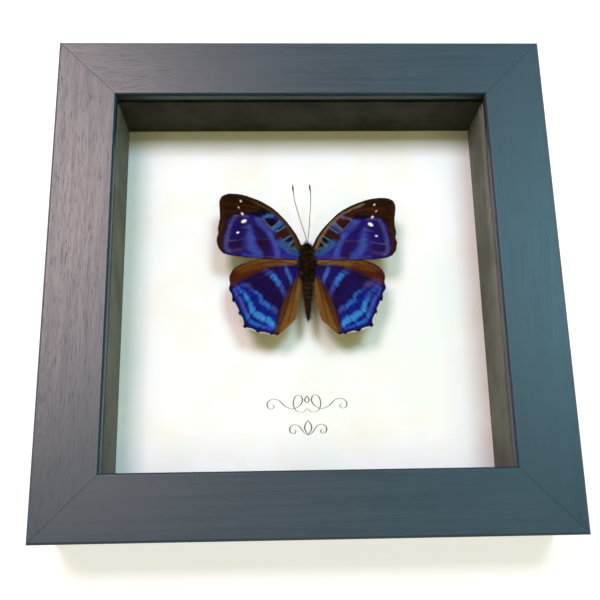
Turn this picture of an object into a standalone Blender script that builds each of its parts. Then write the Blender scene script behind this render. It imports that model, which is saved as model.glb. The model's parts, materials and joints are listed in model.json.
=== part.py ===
"""Butterfly specimen in a deep shadow-box frame, lying on its back.

Metres, +Z out of the glass, +Y towards the butterfly's head, origin at the centre of the back.
"""

import math

import bmesh
import bpy
from mathutils import Matrix

MM = 0.001

# The frame as a whole
OUTER_SIDE = 152.4 * MM
DEPTH = 31.75 * MM
FACE_WIDTH = 18.5 * MM
GAP = 0.3 * MM

# The moulding's section, with widths counted outwards from the sight edge
REBATE_WIDTH = 5.5 * MM
LIP_THICKNESS = 3.4 * MM
OUTER_EASE = 0.6 * MM
SIGHT_EASE = 0.45 * MM
GROOVE_TOP = 0.7 * MM
GROOVE_WIDTH = 0.4 * MM
GROOVE_DEPTH = 0.35 * MM

# What lies in the rebate, from the lip to the back
GLASS_THICKNESS = 2.0 * MM
SPACER_HEIGHT = 19.9 * MM
CARD_THICKNESS = 1.5 * MM
BOARD_THICKNESS = 2.0 * MM
PANE_CLEARANCE = 0.5 * MM

# Framer's points: flat steel darts that hold the board in
POINT_LENGTH = 12.0 * MM
POINT_WIDTH = 5.0 * MM
POINT_THICKNESS = 0.5 * MM
POINT_BITE = 4.0 * MM
POINT_TIP = 2.5 * MM
POINT_SPACING = 62.0 * MM

# Sawtooth hanger, sunk in a pocket in the top rail's back
POCKET_LENGTH = 50.0 * MM
POCKET_WIDTH = 9.6 * MM
POCKET_DEPTH = 2.6 * MM
HANGER_LENGTH = 45.0 * MM
HANGER_WIDTH = 7.6 * MM
HANGER_PLATE = 0.7 * MM
HANGER_RISE = 0.9 * MM
HANGER_BRIDGE = 28.0 * MM
HANGER_RAMP = 2.0 * MM
TOOTH_PITCH = 2.2 * MM
TOOTH_DEPTH = 1.3 * MM
NAIL_RADIUS = 0.7 * MM
NAIL_HEAD_RADIUS = 1.6 * MM
NAIL_HEAD_HEIGHT = 0.5 * MM
NAIL_LENGTH = 8.0 * MM

# The specimen, set a little right of the frame's middle
BODY_X = 1.05 * MM
WING_HEIGHT = 17.05 * MM
WING_THICKNESS = 0.25 * MM
WING_STEP = 0.6 * MM
FOREWING_HINGE = (2.4 * MM, 9.3 * MM)
HINDWING_HINGE = (2.2 * MM, 5.2 * MM)
FOREWING_TURN = math.radians(-1.9)
BODY_HEIGHT = 16.4 * MM
BODY_FLATNESS = 0.92
RISER_RADIUS = 1.8 * MM
RISER_Y = 6.0 * MM
ANTENNA_RADIUS = 0.13 * MM
CLUB_RADIUS = 0.3 * MM

# Wing outlines in millimetres from the hinge: x outwards, y towards the head.
# They run from the root round the leading edge, down the outer margin and back along the inner one.
FOREWING_OUTLINE = (
    (0.4, 0.2), (-0.2, 2.8), (1.2, 6.9), (3.8, 10.9), (7.3, 14.7), (11.3, 17.3), (15.2, 18.9),
    (18.8, 19.95), (22.5, 20.1), (24.7, 19.2), (25.4, 17.2), (25.2, 14.4), (25.0, 11.7),
    (25.5, 8.5), (25.3, 6.7), (25.7, 4.6), (25.1, 1.9), (23.4, 0.1), (20.3, -0.6), (16.4, -1.0),
    (11.9, -1.4), (7.7, -1.65), (3.6, -1.6), (1.2, -1.3),
)
HINDWING_OUTLINE = (
    (0.9, 1.3), (3.2, 3.1), (7.6, 3.5), (12.2, 3.0), (16.0, 2.1), (18.5, 1.1), (20.6, -0.3),
    (21.8, -2.7), (21.6, -5.0), (21.9, -6.7), (21.0, -8.4), (20.8, -10.4), (19.5, -12.2),
    (18.9, -14.4), (17.7, -16.5), (17.4, -18.8), (15.3, -19.3), (13.3, -20.3), (11.1, -20.5),
    (9.0, -21.1), (7.3, -21.2), (5.2, -19.5), (2.6, -17.1), (1.5, -15.0), (0.8, -11.7),
    (0.3, -7.0), (0.4, -3.0),
)

# Half-widths of the body along its axis, from the brow to the abdomen's tip
BODY_PROFILE = (
    (13.5, 0.0), (13.1, 0.9), (12.4, 1.45), (11.6, 1.5), (10.9, 1.2), (10.4, 1.15), (9.6, 1.7),
    (8.4, 2.15), (6.9, 2.3), (5.2, 2.25), (3.6, 2.0), (2.3, 1.65), (1.4, 1.35), (0.4, 1.4),
    (-0.8, 1.45), (-2.4, 1.4), (-4.2, 1.22), (-6.1, 1.0), (-8.0, 0.82), (-9.6, 0.65),
    (-10.9, 0.45), (-11.6, 0.2), (-11.75, 0.0),
)
BODY_TURNS = 20

# Points along each antenna, from the head to the club: sideways from the body's axis, then forwards
LEFT_ANTENNA = (
    (-0.5, 13.95), (-1.1, 16.6), (-1.9, 19.5), (-2.6, 22.5), (-3.2, 25.3), (-3.7, 28.0),
    (-3.9, 30.6), (-4.05, 32.0), (-4.1, 33.1),
)
RIGHT_ANTENNA = (
    (0.5, 13.95), (0.75, 16.6), (1.0, 19.5), (1.2, 22.5), (1.45, 25.3), (1.6, 28.0),
    (1.55, 30.6), (1.4, 32.0), (1.3, 33.2),
)
ANTENNA_HEIGHT = 17.0 * MM

HALF_SIDE = OUTER_SIDE / 2
SIGHT_HALF = HALF_SIDE - FACE_WIDTH
PANE_HALF = SIGHT_HALF + REBATE_WIDTH - PANE_CLEARANCE
GLASS_TOP = DEPTH - LIP_THICKNESS - GAP
SPACER_TOP = GLASS_TOP - GLASS_THICKNESS - GAP
CARD_TOP = SPACER_TOP - SPACER_HEIGHT - GAP
BOARD_TOP = CARD_TOP - CARD_THICKNESS - GAP
POINT_TOP = BOARD_TOP - BOARD_THICKNESS - GAP

for leftover in list(bpy.data.objects):
    bpy.data.objects.remove(leftover, do_unlink=True)

specimen = bpy.data.collections.new("framed_butterfly")
cutters = bpy.data.collections.new("cutters")
bpy.context.scene.collection.children.link(specimen)
bpy.context.scene.collection.children.link(cutters)


def finish(name, colour, roughness, metallic=0.0):
    """A plain surface in one colour."""
    material = bpy.data.materials.new(name)
    material.use_nodes = True
    shader = material.node_tree.nodes["Principled BSDF"]
    shader.inputs["Base Color"].default_value = (*colour, 1.0)
    shader.inputs["Roughness"].default_value = roughness
    shader.inputs["Metallic"].default_value = metallic
    return material


def add_object(name, mesh, material, location=(0, 0, 0), turn=0.0):
    obj = bpy.data.objects.new(name, mesh)
    obj.location = location
    obj.rotation_euler.z = turn
    mesh.materials.clear()
    mesh.materials.append(material)
    specimen.objects.link(obj)
    return obj


def make_cutter(name, mesh, location=(0, 0, 0)):
    cutter = bpy.data.objects.new(name, mesh)
    cutter.location = location
    cutter.hide_render = True
    cutter.display_type = "WIRE"
    cutters.objects.link(cutter)
    return cutter


def cut(obj, cutter):
    """Cuts one shape out of an object, exactly."""
    boolean = obj.modifiers.new(cutter.name, "BOOLEAN")
    boolean.operation = "DIFFERENCE"
    boolean.solver = "EXACT"
    boolean.object = cutter


def box_mesh(name, size):
    shape = bmesh.new()
    bmesh.ops.create_cube(shape, size=1.0, matrix=Matrix.Diagonal((*size, 1.0)))
    mesh = bpy.data.meshes.new(name)
    shape.to_mesh(mesh)
    shape.free()
    return mesh


def drum_mesh(name, radius, height, segments=20):
    shape = bmesh.new()
    bmesh.ops.create_cone(
        shape, cap_ends=True, segments=segments, radius1=radius, radius2=radius, depth=height
    )
    mesh = bpy.data.meshes.new(name)
    shape.to_mesh(mesh)
    shape.free()
    return mesh


def plate_mesh(name, points, thickness):
    """A flat outline with straight sides, filled and given a thickness about its plane."""
    curve = bpy.data.curves.new(name, "CURVE")
    curve.dimensions = "2D"
    curve.fill_mode = "BOTH"
    curve.extrude = thickness / 2
    spline = curve.splines.new("POLY")
    spline.points.add(len(points) - 1)
    for place, (x, y) in zip(spline.points, points):
        place.co = (x, y, 0.0, 1.0)
    spline.use_cyclic_u = True
    guide = bpy.data.objects.new(name, curve)
    bpy.context.scene.collection.objects.link(guide)
    graph = bpy.context.evaluated_depsgraph_get()
    mesh = bpy.data.meshes.new_from_object(guide.evaluated_get(graph))
    bpy.data.objects.remove(guide, do_unlink=True)
    shape = bmesh.new()
    shape.from_mesh(mesh)
    bmesh.ops.remove_doubles(shape, verts=shape.verts, dist=0.001 * MM)
    bmesh.ops.recalc_face_normals(shape, faces=shape.faces)
    shape.to_mesh(mesh)
    shape.free()
    return mesh


def moulding_section():
    """The rail's section as (outwards from the sight edge, up from the back)."""
    groove_top = DEPTH - GROOVE_TOP
    groove_bottom = groove_top - GROOVE_WIDTH
    lip_bottom = DEPTH - LIP_THICKNESS
    return (
        (REBATE_WIDTH, 0.0),
        (FACE_WIDTH, 0.0),
        (FACE_WIDTH, DEPTH - OUTER_EASE),
        (FACE_WIDTH - OUTER_EASE, DEPTH),
        (SIGHT_EASE, DEPTH),
        (0.0, DEPTH - SIGHT_EASE),
        (0.0, groove_top),
        (GROOVE_DEPTH, groove_top),
        (GROOVE_DEPTH, groove_bottom),
        (0.0, groove_bottom),
        (0.0, lip_bottom),
        (REBATE_WIDTH, lip_bottom),
    )


def rail_mesh(name):
    """The top rail: its section swept along X and mitred at 45 degrees at both ends."""
    mesh = plate_mesh(name, moulding_section(), 1.0)
    half_joint = GAP / math.sqrt(2)
    for vertex in mesh.vertices:
        outwards, up, along = vertex.co
        reach = SIGHT_HALF + outwards - half_joint
        vertex.co = (math.copysign(reach, along), SIGHT_HALF + outwards, up)
    return mesh


def add_rails():
    """Four mitred rails round the pane, with slots for the points and a pocket for the hanger."""
    paint = finish("painted wood", (0.055, 0.058, 0.066), 0.5)
    slot_size = (POINT_WIDTH + 2 * GAP, 2 * (POINT_BITE + GAP), POINT_THICKNESS + 2 * GAP)
    slot_mesh = box_mesh("slot", slot_size)
    rails = {}
    for quarter, side in enumerate(("top", "left", "bottom", "right")):
        turn = quarter * math.pi / 2
        rail = add_object("rail_" + side, rail_mesh("rail_" + side), paint, turn=turn)
        for hand in (-1, 1):
            place = Matrix.Rotation(turn, 4, "Z") @ Matrix.Translation(
                (hand * POINT_SPACING / 2, SIGHT_HALF + REBATE_WIDTH, POINT_TOP - POINT_THICKNESS / 2)
            )
            slot = make_cutter(f"slot_{side}_{hand}", slot_mesh)
            slot.matrix_world = place
            cut(rail, slot)
        rails[side] = rail
    return rails


def add_glazing():
    """The pane under the lip, and the four strips that hold it off the card."""
    clear = finish("glass", (0.95, 0.97, 0.96), 0.02)
    pane_side = 2 * PANE_HALF
    add_object(
        "glass_pane",
        box_mesh("glass_pane", (pane_side, pane_side, GLASS_THICKNESS)),
        clear,
        (0, 0, GLASS_TOP - GLASS_THICKNESS / 2),
    )
    dark = finish("dark strip", (0.03, 0.031, 0.028), 0.6)
    strip = PANE_HALF - SIGHT_HALF
    middle = SIGHT_HALF + strip / 2
    height = SPACER_TOP - SPACER_HEIGHT / 2
    for name, hand in (("spacer_top", 1), ("spacer_bottom", -1)):
        mesh = box_mesh(name, (pane_side, strip, SPACER_HEIGHT))
        add_object(name, mesh, dark, (0, hand * middle, height))
    for name, hand in (("spacer_right", 1), ("spacer_left", -1)):
        mesh = box_mesh(name, (strip, 2 * (SIGHT_HALF - GAP), SPACER_HEIGHT))
        add_object(name, mesh, dark, (hand * middle, 0, height))


def add_backing():
    """The pale card that the specimen stands on, and the hardboard behind it."""
    side = 2 * PANE_HALF
    card = finish("card", (0.88, 0.87, 0.83), 0.85)
    board = finish("hardboard", (0.24, 0.15, 0.085), 0.8)
    add_object(
        "backing_card",
        box_mesh("backing_card", (side, side, CARD_THICKNESS)),
        card,
        (0, 0, CARD_TOP - CARD_THICKNESS / 2),
    )
    add_object(
        "back_board",
        box_mesh("back_board", (side, side, BOARD_THICKNESS)),
        board,
        (0, 0, BOARD_TOP - BOARD_THICKNESS / 2),
    )


def point_outline():
    """One dart, biting outwards along +Y from the rebate's wall at y = 0."""
    half = POINT_WIDTH / 2
    tail = POINT_BITE - POINT_LENGTH
    return (
        (-half, tail),
        (half, tail),
        (half, POINT_BITE - POINT_TIP),
        (0.0, POINT_BITE),
        (-half, POINT_BITE - POINT_TIP),
    )


def add_points():
    """Two points a side, each driven into its rail and lying over the board."""
    steel = finish("point steel", (0.55, 0.55, 0.56), 0.4, 1.0)
    for quarter, side in enumerate(("top", "left", "bottom", "right")):
        turn = Matrix.Rotation(quarter * math.pi / 2, 4, "Z")
        for number, hand in enumerate((-1, 1), start=1):
            name = f"point_{side}_{number}"
            wall = (hand * POINT_SPACING / 2, SIGHT_HALF + REBATE_WIDTH, POINT_TOP - POINT_THICKNESS / 2)
            point = add_object(name, plate_mesh(name, point_outline(), POINT_THICKNESS), steel)
            point.matrix_world = turn @ Matrix.Translation(wall)


def hanger_section():
    """The hanger seen along its width: flat ends, and a bridge that stands off the rail."""
    half = HANGER_LENGTH / 2
    foot = HANGER_BRIDGE / 2 + HANGER_RAMP
    crown = HANGER_BRIDGE / 2
    upper = (
        (-half, 0.0),
        (-foot, 0.0),
        (-crown, HANGER_RISE),
        (crown, HANGER_RISE),
        (foot, 0.0),
        (half, 0.0),
    )
    lower = tuple((x, z - HANGER_PLATE) for x, z in reversed(upper))
    return upper + lower


def add_hanger(top_rail):
    """A sawtooth hanger in a pocket behind the top rail, held by two flat-headed nails."""
    middle_y = SIGHT_HALF + REBATE_WIDTH + (FACE_WIDTH - REBATE_WIDTH) / 2
    pocket = box_mesh("hanger_pocket", (POCKET_LENGTH, POCKET_WIDTH, 2 * POCKET_DEPTH))
    cut(top_rail, make_cutter("hanger_pocket", pocket, (0, middle_y, 0)))

    steel = finish("hanger steel", (0.6, 0.57, 0.5), 0.35, 1.0)
    seat = POCKET_DEPTH - GAP
    mesh = plate_mesh("sawtooth_hanger", hanger_section(), HANGER_WIDTH)
    for vertex in mesh.vertices:
        x, down, across = vertex.co
        vertex.co = (x, middle_y + across, seat - HANGER_PLATE - down)
    hanger = add_object("sawtooth_hanger", mesh, steel)

    teeth = round(HANGER_BRIDGE / TOOTH_PITCH)
    comb = [(-teeth * TOOTH_PITCH / 2, -TOOTH_DEPTH), (teeth * TOOTH_PITCH / 2, -TOOTH_DEPTH)]
    for number in range(teeth, 0, -1):
        right = (number - teeth / 2) * TOOTH_PITCH
        comb += [(right, 0.0), (right - TOOTH_PITCH / 2, TOOTH_DEPTH)]
    comb.append((-teeth * TOOTH_PITCH / 2, 0.0))
    saw = plate_mesh("hanger_teeth", comb, 4 * POCKET_DEPTH)
    cut(hanger, make_cutter("hanger_teeth", saw, (0, middle_y - HANGER_WIDTH / 2, 0)))

    nail_x = (HANGER_BRIDGE / 2 + HANGER_RAMP + HANGER_LENGTH / 2) / 2
    head_z = seat - HANGER_PLATE - GAP - NAIL_HEAD_HEIGHT
    for number, hand in enumerate((-1, 1), start=1):
        bore = drum_mesh("nail_bore", NAIL_RADIUS + GAP, 2 * (NAIL_LENGTH + GAP), 16)
        hole = make_cutter(f"nail_bore_{number}", bore, (hand * nail_x, middle_y, head_z))
        cut(top_rail, hole)
        cut(hanger, hole)
        add_nail(f"hanger_nail_{number}", (hand * nail_x, middle_y, head_z), steel)


def add_nail(name, foot, material):
    """A nail that points up from its flat head: the profile runs from the tip to the head."""
    curve = (
        (0.0, NAIL_LENGTH),
        (NAIL_RADIUS, NAIL_LENGTH - 1.2 * MM),
        (NAIL_RADIUS, NAIL_HEAD_HEIGHT),
        (NAIL_HEAD_RADIUS, NAIL_HEAD_HEIGHT),
        (NAIL_HEAD_RADIUS, 0.0),
        (0.0, 0.0),
    )
    mesh = bpy.data.meshes.new(name)
    places = [(radius, 0.0, height) for radius, height in curve]
    mesh.from_pydata(places, [(k, k + 1) for k in range(len(places) - 1)], [])
    nail = add_object(name, mesh, material, foot)
    turn = nail.modifiers.new("turn", "SCREW")
    turn.steps = 16
    turn.render_steps = 16
    turn.use_merge_vertices = True
    turn.merge_threshold = 0.01 * MM


def add_body():
    """Head, thorax and abdomen as one body turned about its axis and a little flattened."""
    mesh = bpy.data.meshes.new("butterfly_body")
    places = [(radius * MM, 0.0, along * MM) for along, radius in BODY_PROFILE]
    mesh.from_pydata(places, [(k, k + 1) for k in range(len(places) - 1)], [])
    brown = finish("body hair", (0.035, 0.022, 0.016), 0.9)
    body = add_object("butterfly_body", mesh, brown)
    stand = Matrix.Diagonal((1.0, 1.0, BODY_FLATNESS, 1.0)) @ Matrix.Rotation(-math.pi / 2, 4, "X")
    body.matrix_world = Matrix.Translation((BODY_X, 0, BODY_HEIGHT)) @ stand
    turn = body.modifiers.new("turn", "SCREW")
    turn.steps = BODY_TURNS
    turn.render_steps = BODY_TURNS
    turn.use_merge_vertices = True
    turn.merge_threshold = 0.01 * MM
    turn.use_smooth_shade = True


def add_wing(name, outline, hand, hinge, height, turn, material):
    """One wing, as a thin plate with a smooth outline about its hinge."""
    curve = bpy.data.curves.new(name, "CURVE")
    curve.dimensions = "2D"
    curve.fill_mode = "BOTH"
    curve.extrude = WING_THICKNESS / 2
    curve.resolution_u = 4
    spline = curve.splines.new("BEZIER")
    spline.bezier_points.add(len(outline) - 1)
    for place, (x, y) in zip(spline.bezier_points, outline[::-hand]):
        place.co = (hand * x * MM, y * MM, 0.0)
        place.handle_left_type = "AUTO"
        place.handle_right_type = "AUTO"
    spline.use_cyclic_u = True
    curve.materials.append(material)
    wing = bpy.data.objects.new(name, curve)
    wing.location = (BODY_X + hand * hinge[0], hinge[1], height)
    wing.rotation_euler.z = turn
    specimen.objects.link(wing)


def add_wings():
    """Forewings over hindwings, left and right."""
    fore = finish("forewing scales", (0.03, 0.03, 0.16), 0.6)
    hind = finish("hindwing scales", (0.01, 0.06, 0.3), 0.6)
    fore_height = WING_HEIGHT + WING_STEP / 2
    hind_height = WING_HEIGHT - WING_STEP / 2
    for side, hand in (("left", -1), ("right", 1)):
        add_wing(
            "forewing_" + side, FOREWING_OUTLINE, hand, FOREWING_HINGE, fore_height, FOREWING_TURN, fore
        )
        add_wing("hindwing_" + side, HINDWING_OUTLINE, hand, HINDWING_HINGE, hind_height, 0.0, hind)


def add_antenna(name, points, material):
    """A bristle that swells into a small club at its tip."""
    curve = bpy.data.curves.new(name, "CURVE")
    curve.dimensions = "3D"
    curve.bevel_depth = ANTENNA_RADIUS
    curve.bevel_resolution = 2
    curve.use_fill_caps = True
    spline = curve.splines.new("POLY")
    spline.points.add(len(points) - 1)
    club_starts = len(points) - 3
    for number, (place, (aside, along)) in enumerate(zip(spline.points, points)):
        place.co = (aside * MM, along * MM, 0.0, 1.0)
        swelling = 0.5 * max(0, number - club_starts)
        place.radius = 1.0 + swelling * (CLUB_RADIUS / ANTENNA_RADIUS - 1.0)
    curve.materials.append(material)
    antenna = bpy.data.objects.new(name, curve)
    antenna.location = (BODY_X, 0, ANTENNA_HEIGHT)
    specimen.objects.link(antenna)


def add_antennae():
    horn = finish("antenna", (0.05, 0.035, 0.025), 0.6)
    add_antenna("antenna_left", LEFT_ANTENNA, horn)
    add_antenna("antenna_right", RIGHT_ANTENNA, horn)


def add_riser():
    """The short peg under the thorax that carries the butterfly above the card."""
    clear = finish("riser", (0.75, 0.74, 0.7), 0.4)
    foot = CARD_TOP + GAP
    crown = BODY_HEIGHT - BODY_FLATNESS * 2.3 * MM - GAP
    mesh = drum_mesh("riser", RISER_RADIUS, crown - foot)
    add_object("riser", mesh, clear, (BODY_X, RISER_Y, (crown + foot) / 2))


rails = add_rails()
add_glazing()
add_backing()
add_points()
add_hanger(rails["top"])
add_body()
add_wings()
add_antennae()
add_riser()
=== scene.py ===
import json
import math

import bpy
import numpy as np
from mathutils import Matrix, Vector

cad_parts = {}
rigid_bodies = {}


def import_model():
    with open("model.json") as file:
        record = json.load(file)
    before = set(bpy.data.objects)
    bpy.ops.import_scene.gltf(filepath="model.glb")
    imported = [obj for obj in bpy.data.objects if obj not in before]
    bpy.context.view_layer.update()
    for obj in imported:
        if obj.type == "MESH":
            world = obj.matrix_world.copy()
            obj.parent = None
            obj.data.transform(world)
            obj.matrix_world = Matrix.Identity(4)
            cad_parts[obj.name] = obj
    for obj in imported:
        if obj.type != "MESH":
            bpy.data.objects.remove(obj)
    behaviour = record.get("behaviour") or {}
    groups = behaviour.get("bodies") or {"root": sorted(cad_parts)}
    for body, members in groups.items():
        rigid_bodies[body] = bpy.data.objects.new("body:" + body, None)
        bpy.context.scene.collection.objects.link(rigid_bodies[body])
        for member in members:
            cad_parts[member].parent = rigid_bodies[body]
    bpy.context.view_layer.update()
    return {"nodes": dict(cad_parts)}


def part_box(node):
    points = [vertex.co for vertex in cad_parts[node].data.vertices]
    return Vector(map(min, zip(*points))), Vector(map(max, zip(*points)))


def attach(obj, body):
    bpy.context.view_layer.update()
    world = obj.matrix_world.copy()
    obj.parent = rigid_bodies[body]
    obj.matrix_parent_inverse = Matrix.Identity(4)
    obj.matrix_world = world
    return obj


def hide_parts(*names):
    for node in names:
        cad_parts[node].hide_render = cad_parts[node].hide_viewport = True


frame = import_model()
nodes = frame["nodes"]
print("frame loaded,", len(nodes), "CAD pieces")

mm = 0.001      # lengths below are in millimetres, and are made metres with this


# small helpers for working on one piece at a time

def clearSelection():
    for thing in bpy.context.view_layer.objects:
        thing.select_set(False)
    bpy.context.view_layer.objects.active = None


def pickUp(piece):      # this piece, and nothing else, is selected and active
    clearSelection()
    piece.select_set(True)
    bpy.context.view_layer.objects.active = piece


def startEdit(piece, selectMode="VERT"):
    pickUp(piece)
    bpy.ops.object.mode_set(mode="EDIT")
    bpy.ops.mesh.select_mode(type=selectMode)
    bpy.ops.mesh.select_all(action="SELECT")


def endEdit():
    bpy.ops.object.mode_set(mode="OBJECT")


def applyModifier(piece, kind, **settings):
    modifier = piece.modifiers.new(kind.title(), kind)
    for name, value in settings.items():
        setattr(modifier, name, value)
    pickUp(piece)
    bpy.ops.object.modifier_apply(modifier=modifier.name)


def fixPlace(piece):      # turn, place and size go into the mesh
    pickUp(piece)
    bpy.ops.object.transform_apply(location=True, rotation=True, scale=True)


def meshPoints(piece):
    points = np.empty(len(piece.data.vertices) * 3)
    piece.data.vertices.foreach_get("co", points)
    return points.reshape(-1, 3)


def setPoints(piece, points):
    piece.data.vertices.foreach_set("co", np.asarray(points, np.float32).ravel())
    piece.data.update()


def smoothByAngle(piece, angle):
    pickUp(piece)
    bpy.ops.object.shade_smooth_by_angle(angle=math.radians(angle))


def finishPiece(piece, name, material, stoodFor=()):
    piece.name = name
    piece.data.name = name
    piece.data.materials.clear()
    piece.data.materials.append(material)
    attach(piece, "root")
    if stoodFor:
        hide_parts(*stoodFor)


# node helpers

def linear(red, green, blue):      # a colour read as 0 to 255, made linear
    return tuple(((value / 255 + 0.055) / 1.055) ** 2.4 for value in (red, green, blue)) + (1.0,)


def newMaterial(name):
    material = bpy.data.materials.new(name)
    material.use_nodes = True
    return material, material.node_tree, material.node_tree.nodes["Principled BSDF"]


def newGroup(name, takes, gives):
    tree = bpy.data.node_groups.new(name, "ShaderNodeTree")
    for label, kind, value in takes:
        socket = tree.interface.new_socket(label, in_out="INPUT", socket_type="NodeSocket" + kind)
        if value is not None:
            socket.default_value = value
    for label, kind in gives:
        tree.interface.new_socket(label, in_out="OUTPUT", socket_type="NodeSocket" + kind)
    return tree, tree.nodes.new("NodeGroupInput"), tree.nodes.new("NodeGroupOutput")


def feed(tree, node, values):      # a value that is a socket gets linked
    for name, value in values.items():
        if isinstance(value, bpy.types.NodeSocket):
            tree.links.new(value, node.inputs[name])
        else:
            node.inputs[name].default_value = value
    return node


def put(tree, kind, values=None, **settings):      # shader nodes go by their short names
    node = tree.nodes.new(kind if "Node" in kind else "ShaderNode" + kind)
    for name, value in settings.items():
        setattr(node, name, value)
    return feed(tree, node, values or {})


def putGroup(tree, group, values):
    return feed(tree, put(tree, "Group", node_tree=group), values)


def noise(tree, vector, scale, detail=4, roughness=0.55, distortion=0.0):
    values = {"Vector": vector, "Scale": scale, "Detail": detail, "Roughness": roughness}
    values["Distortion"] = distortion
    return put(tree, "TexNoise", values).outputs["Fac"]


def stretched(tree, vector, scale, place=(0, 0, 0), turn=(0, 0, 0)):
    values = {"Vector": vector, "Scale": scale, "Location": place, "Rotation": turn}
    return put(tree, "Mapping", values).outputs["Vector"]


def remap(tree, value, low, high, toLow=0.0, toHigh=1.0):
    values = {"Value": value, "From Min": low, "From Max": high, "To Min": toLow, "To Max": toHigh}
    return put(tree, "MapRange", values).outputs["Result"]


def maths(tree, operation, first, second):
    return put(tree, "Math", {0: first, 1: second}, operation=operation).outputs[0]


def blend(tree, share, first, second, mode="MIX"):
    return put(tree, "Mix", {0: share, 6: first, 7: second}, data_type="RGBA", blend_type=mode).outputs[2]


def shaded(tree, tone, shade):      # a tone made lighter or darker by a plain factor
    grey = put(tree, "CombineColor", {0: shade, 1: shade, 2: shade}).outputs[0]
    return blend(tree, 1.0, tone, grey, "MULTIPLY")


def bump(tree, height, distance, strength=1.0):
    return put(tree, "Bump", {"Height": height, "Distance": distance, "Strength": strength}).outputs[0]


def objectPlace(tree):
    return put(tree, "TexCoord").outputs["Object"]


def surface(tree, shader, tone, rough, height, depth, strength):      # colour, gloss and relief
    tree.links.new(tone, shader.inputs["Base Color"])
    tree.links.new(rough, shader.inputs["Roughness"])
    tree.links.new(bump(tree, height, depth * mm, strength), shader.inputs["Normal"])


def giveOut(tree, given, **sockets):      # what a group puts out
    for label, socket in sockets.items():
        tree.links.new(socket, given.inputs[label])


# effects that several finishes share

def makeWoodGrain():      # open pores and soft figure running along X
    takes = [("Vector", "Vector", None), ("Pore Cover", "Float", 0.5), ("Figure", "Float", 0.5)]
    gives = [("Pores", "Float"), ("Figure", "Float"), ("Cloud", "Float"), ("Height", "Float")]
    tree, taken, given = newGroup("wood grain", takes, gives)
    vector = taken.outputs["Vector"]
    bent = put(tree, "VectorMath", {0: vector, 1: (0, 0, 0)}, operation="ADD").outputs[0]
    wander = noise(tree, stretched(tree, vector, (18, 60, 60)), 1.0, 2)
    shift = put(tree, "CombineXYZ", {"Y": remap(tree, wander, 0, 1, -0.0012, 0.0012)}).outputs[0]
    tree.links.new(shift, bent.node.inputs[1])
    fine = noise(tree, stretched(tree, bent, (150, 4000, 4000)), 1.0, 3, 0.6)
    short = noise(tree, stretched(tree, bent, (300, 6000, 6000), (3, 5, 1)), 1.0, 2, 0.5)
    figure = noise(tree, stretched(tree, bent, (26, 620, 620), (7, 2, 4)), 1.0, 4, 0.6)
    cloud = noise(tree, stretched(tree, vector, (34, 60, 60), (1, 9, 2)), 1.0, 3, 0.5)
    cover = taken.outputs["Pore Cover"]
    poresLong = remap(tree, maths(tree, "ADD", fine, maths(tree, "MULTIPLY", cover, 0.1)), 0.64, 0.8)
    poresShort = remap(tree, maths(tree, "ADD", short, maths(tree, "MULTIPLY", cover, 0.1)), 0.66, 0.76)
    pores = maths(tree, "MAXIMUM", poresLong, maths(tree, "MULTIPLY", poresShort, 0.8))
    figured = maths(tree, "MULTIPLY", figure, taken.outputs["Figure"])
    height = maths(tree, "SUBTRACT", figured, pores)
    giveOut(tree, given, Pores=pores, Figure=figure, Cloud=cloud, Height=height)
    return tree


def makePaperFibre():      # matted fibres with flecks and a slow mottle
    takes = [("Vector", "Vector", None), ("Fibre Scale", "Float", 1500.0), ("Mottle Scale", "Float", 70.0)]
    gives = [("Fibre", "Float"), ("Fleck", "Float"), ("Mottle", "Float"), ("Height", "Float")]
    tree, taken, given = newGroup("paper fibre", takes, gives)
    vector = taken.outputs["Vector"]
    fibreScale = taken.outputs["Fibre Scale"]
    lengthwise = stretched(tree, vector, (1, 0.25, 0.6), (0, 0, 0), (0, 0, 0.5))
    along = noise(tree, lengthwise, fibreScale, 4, 0.6, 0.8)
    crosswise = stretched(tree, vector, (0.25, 1, 0.6), (5, 1, 0), (0, 0, 0.2))
    across = noise(tree, crosswise, fibreScale, 4, 0.6, 0.8)
    fibre = maths(tree, "MULTIPLY", maths(tree, "ADD", along, across), 0.5)
    spots = put(tree, "TexVoronoi", {"Vector": vector, "Scale": maths(tree, "MULTIPLY", fibreScale, 0.4)})
    fleck = remap(tree, spots.outputs["Distance"], 0.02, 0.14, 1.0, 0.0)
    mottle = noise(tree, vector, taken.outputs["Mottle Scale"], 5, 0.6)
    giveOut(tree, given, Fibre=fibre, Fleck=fleck, Mottle=mottle, Height=fibre)
    return tree


def makeRubbing():      # scratches and dull patches on metal
    takes = [("Vector", "Vector", None), ("Scratch Scale", "Float", 1.0)]
    gives = [("Scratches", "Float"), ("Dull", "Float")]
    tree, taken, given = newGroup("metal rubbing", takes, gives)
    vector = taken.outputs["Vector"]
    lines = noise(tree, stretched(tree, vector, (400, 6000, 6000)), taken.outputs["Scratch Scale"], 3)
    dull = noise(tree, vector, 300, 4)
    giveOut(tree, given, Scratches=remap(tree, lines, 0.35, 0.65), Dull=remap(tree, dull, 0.4, 0.7))
    return tree


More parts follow.
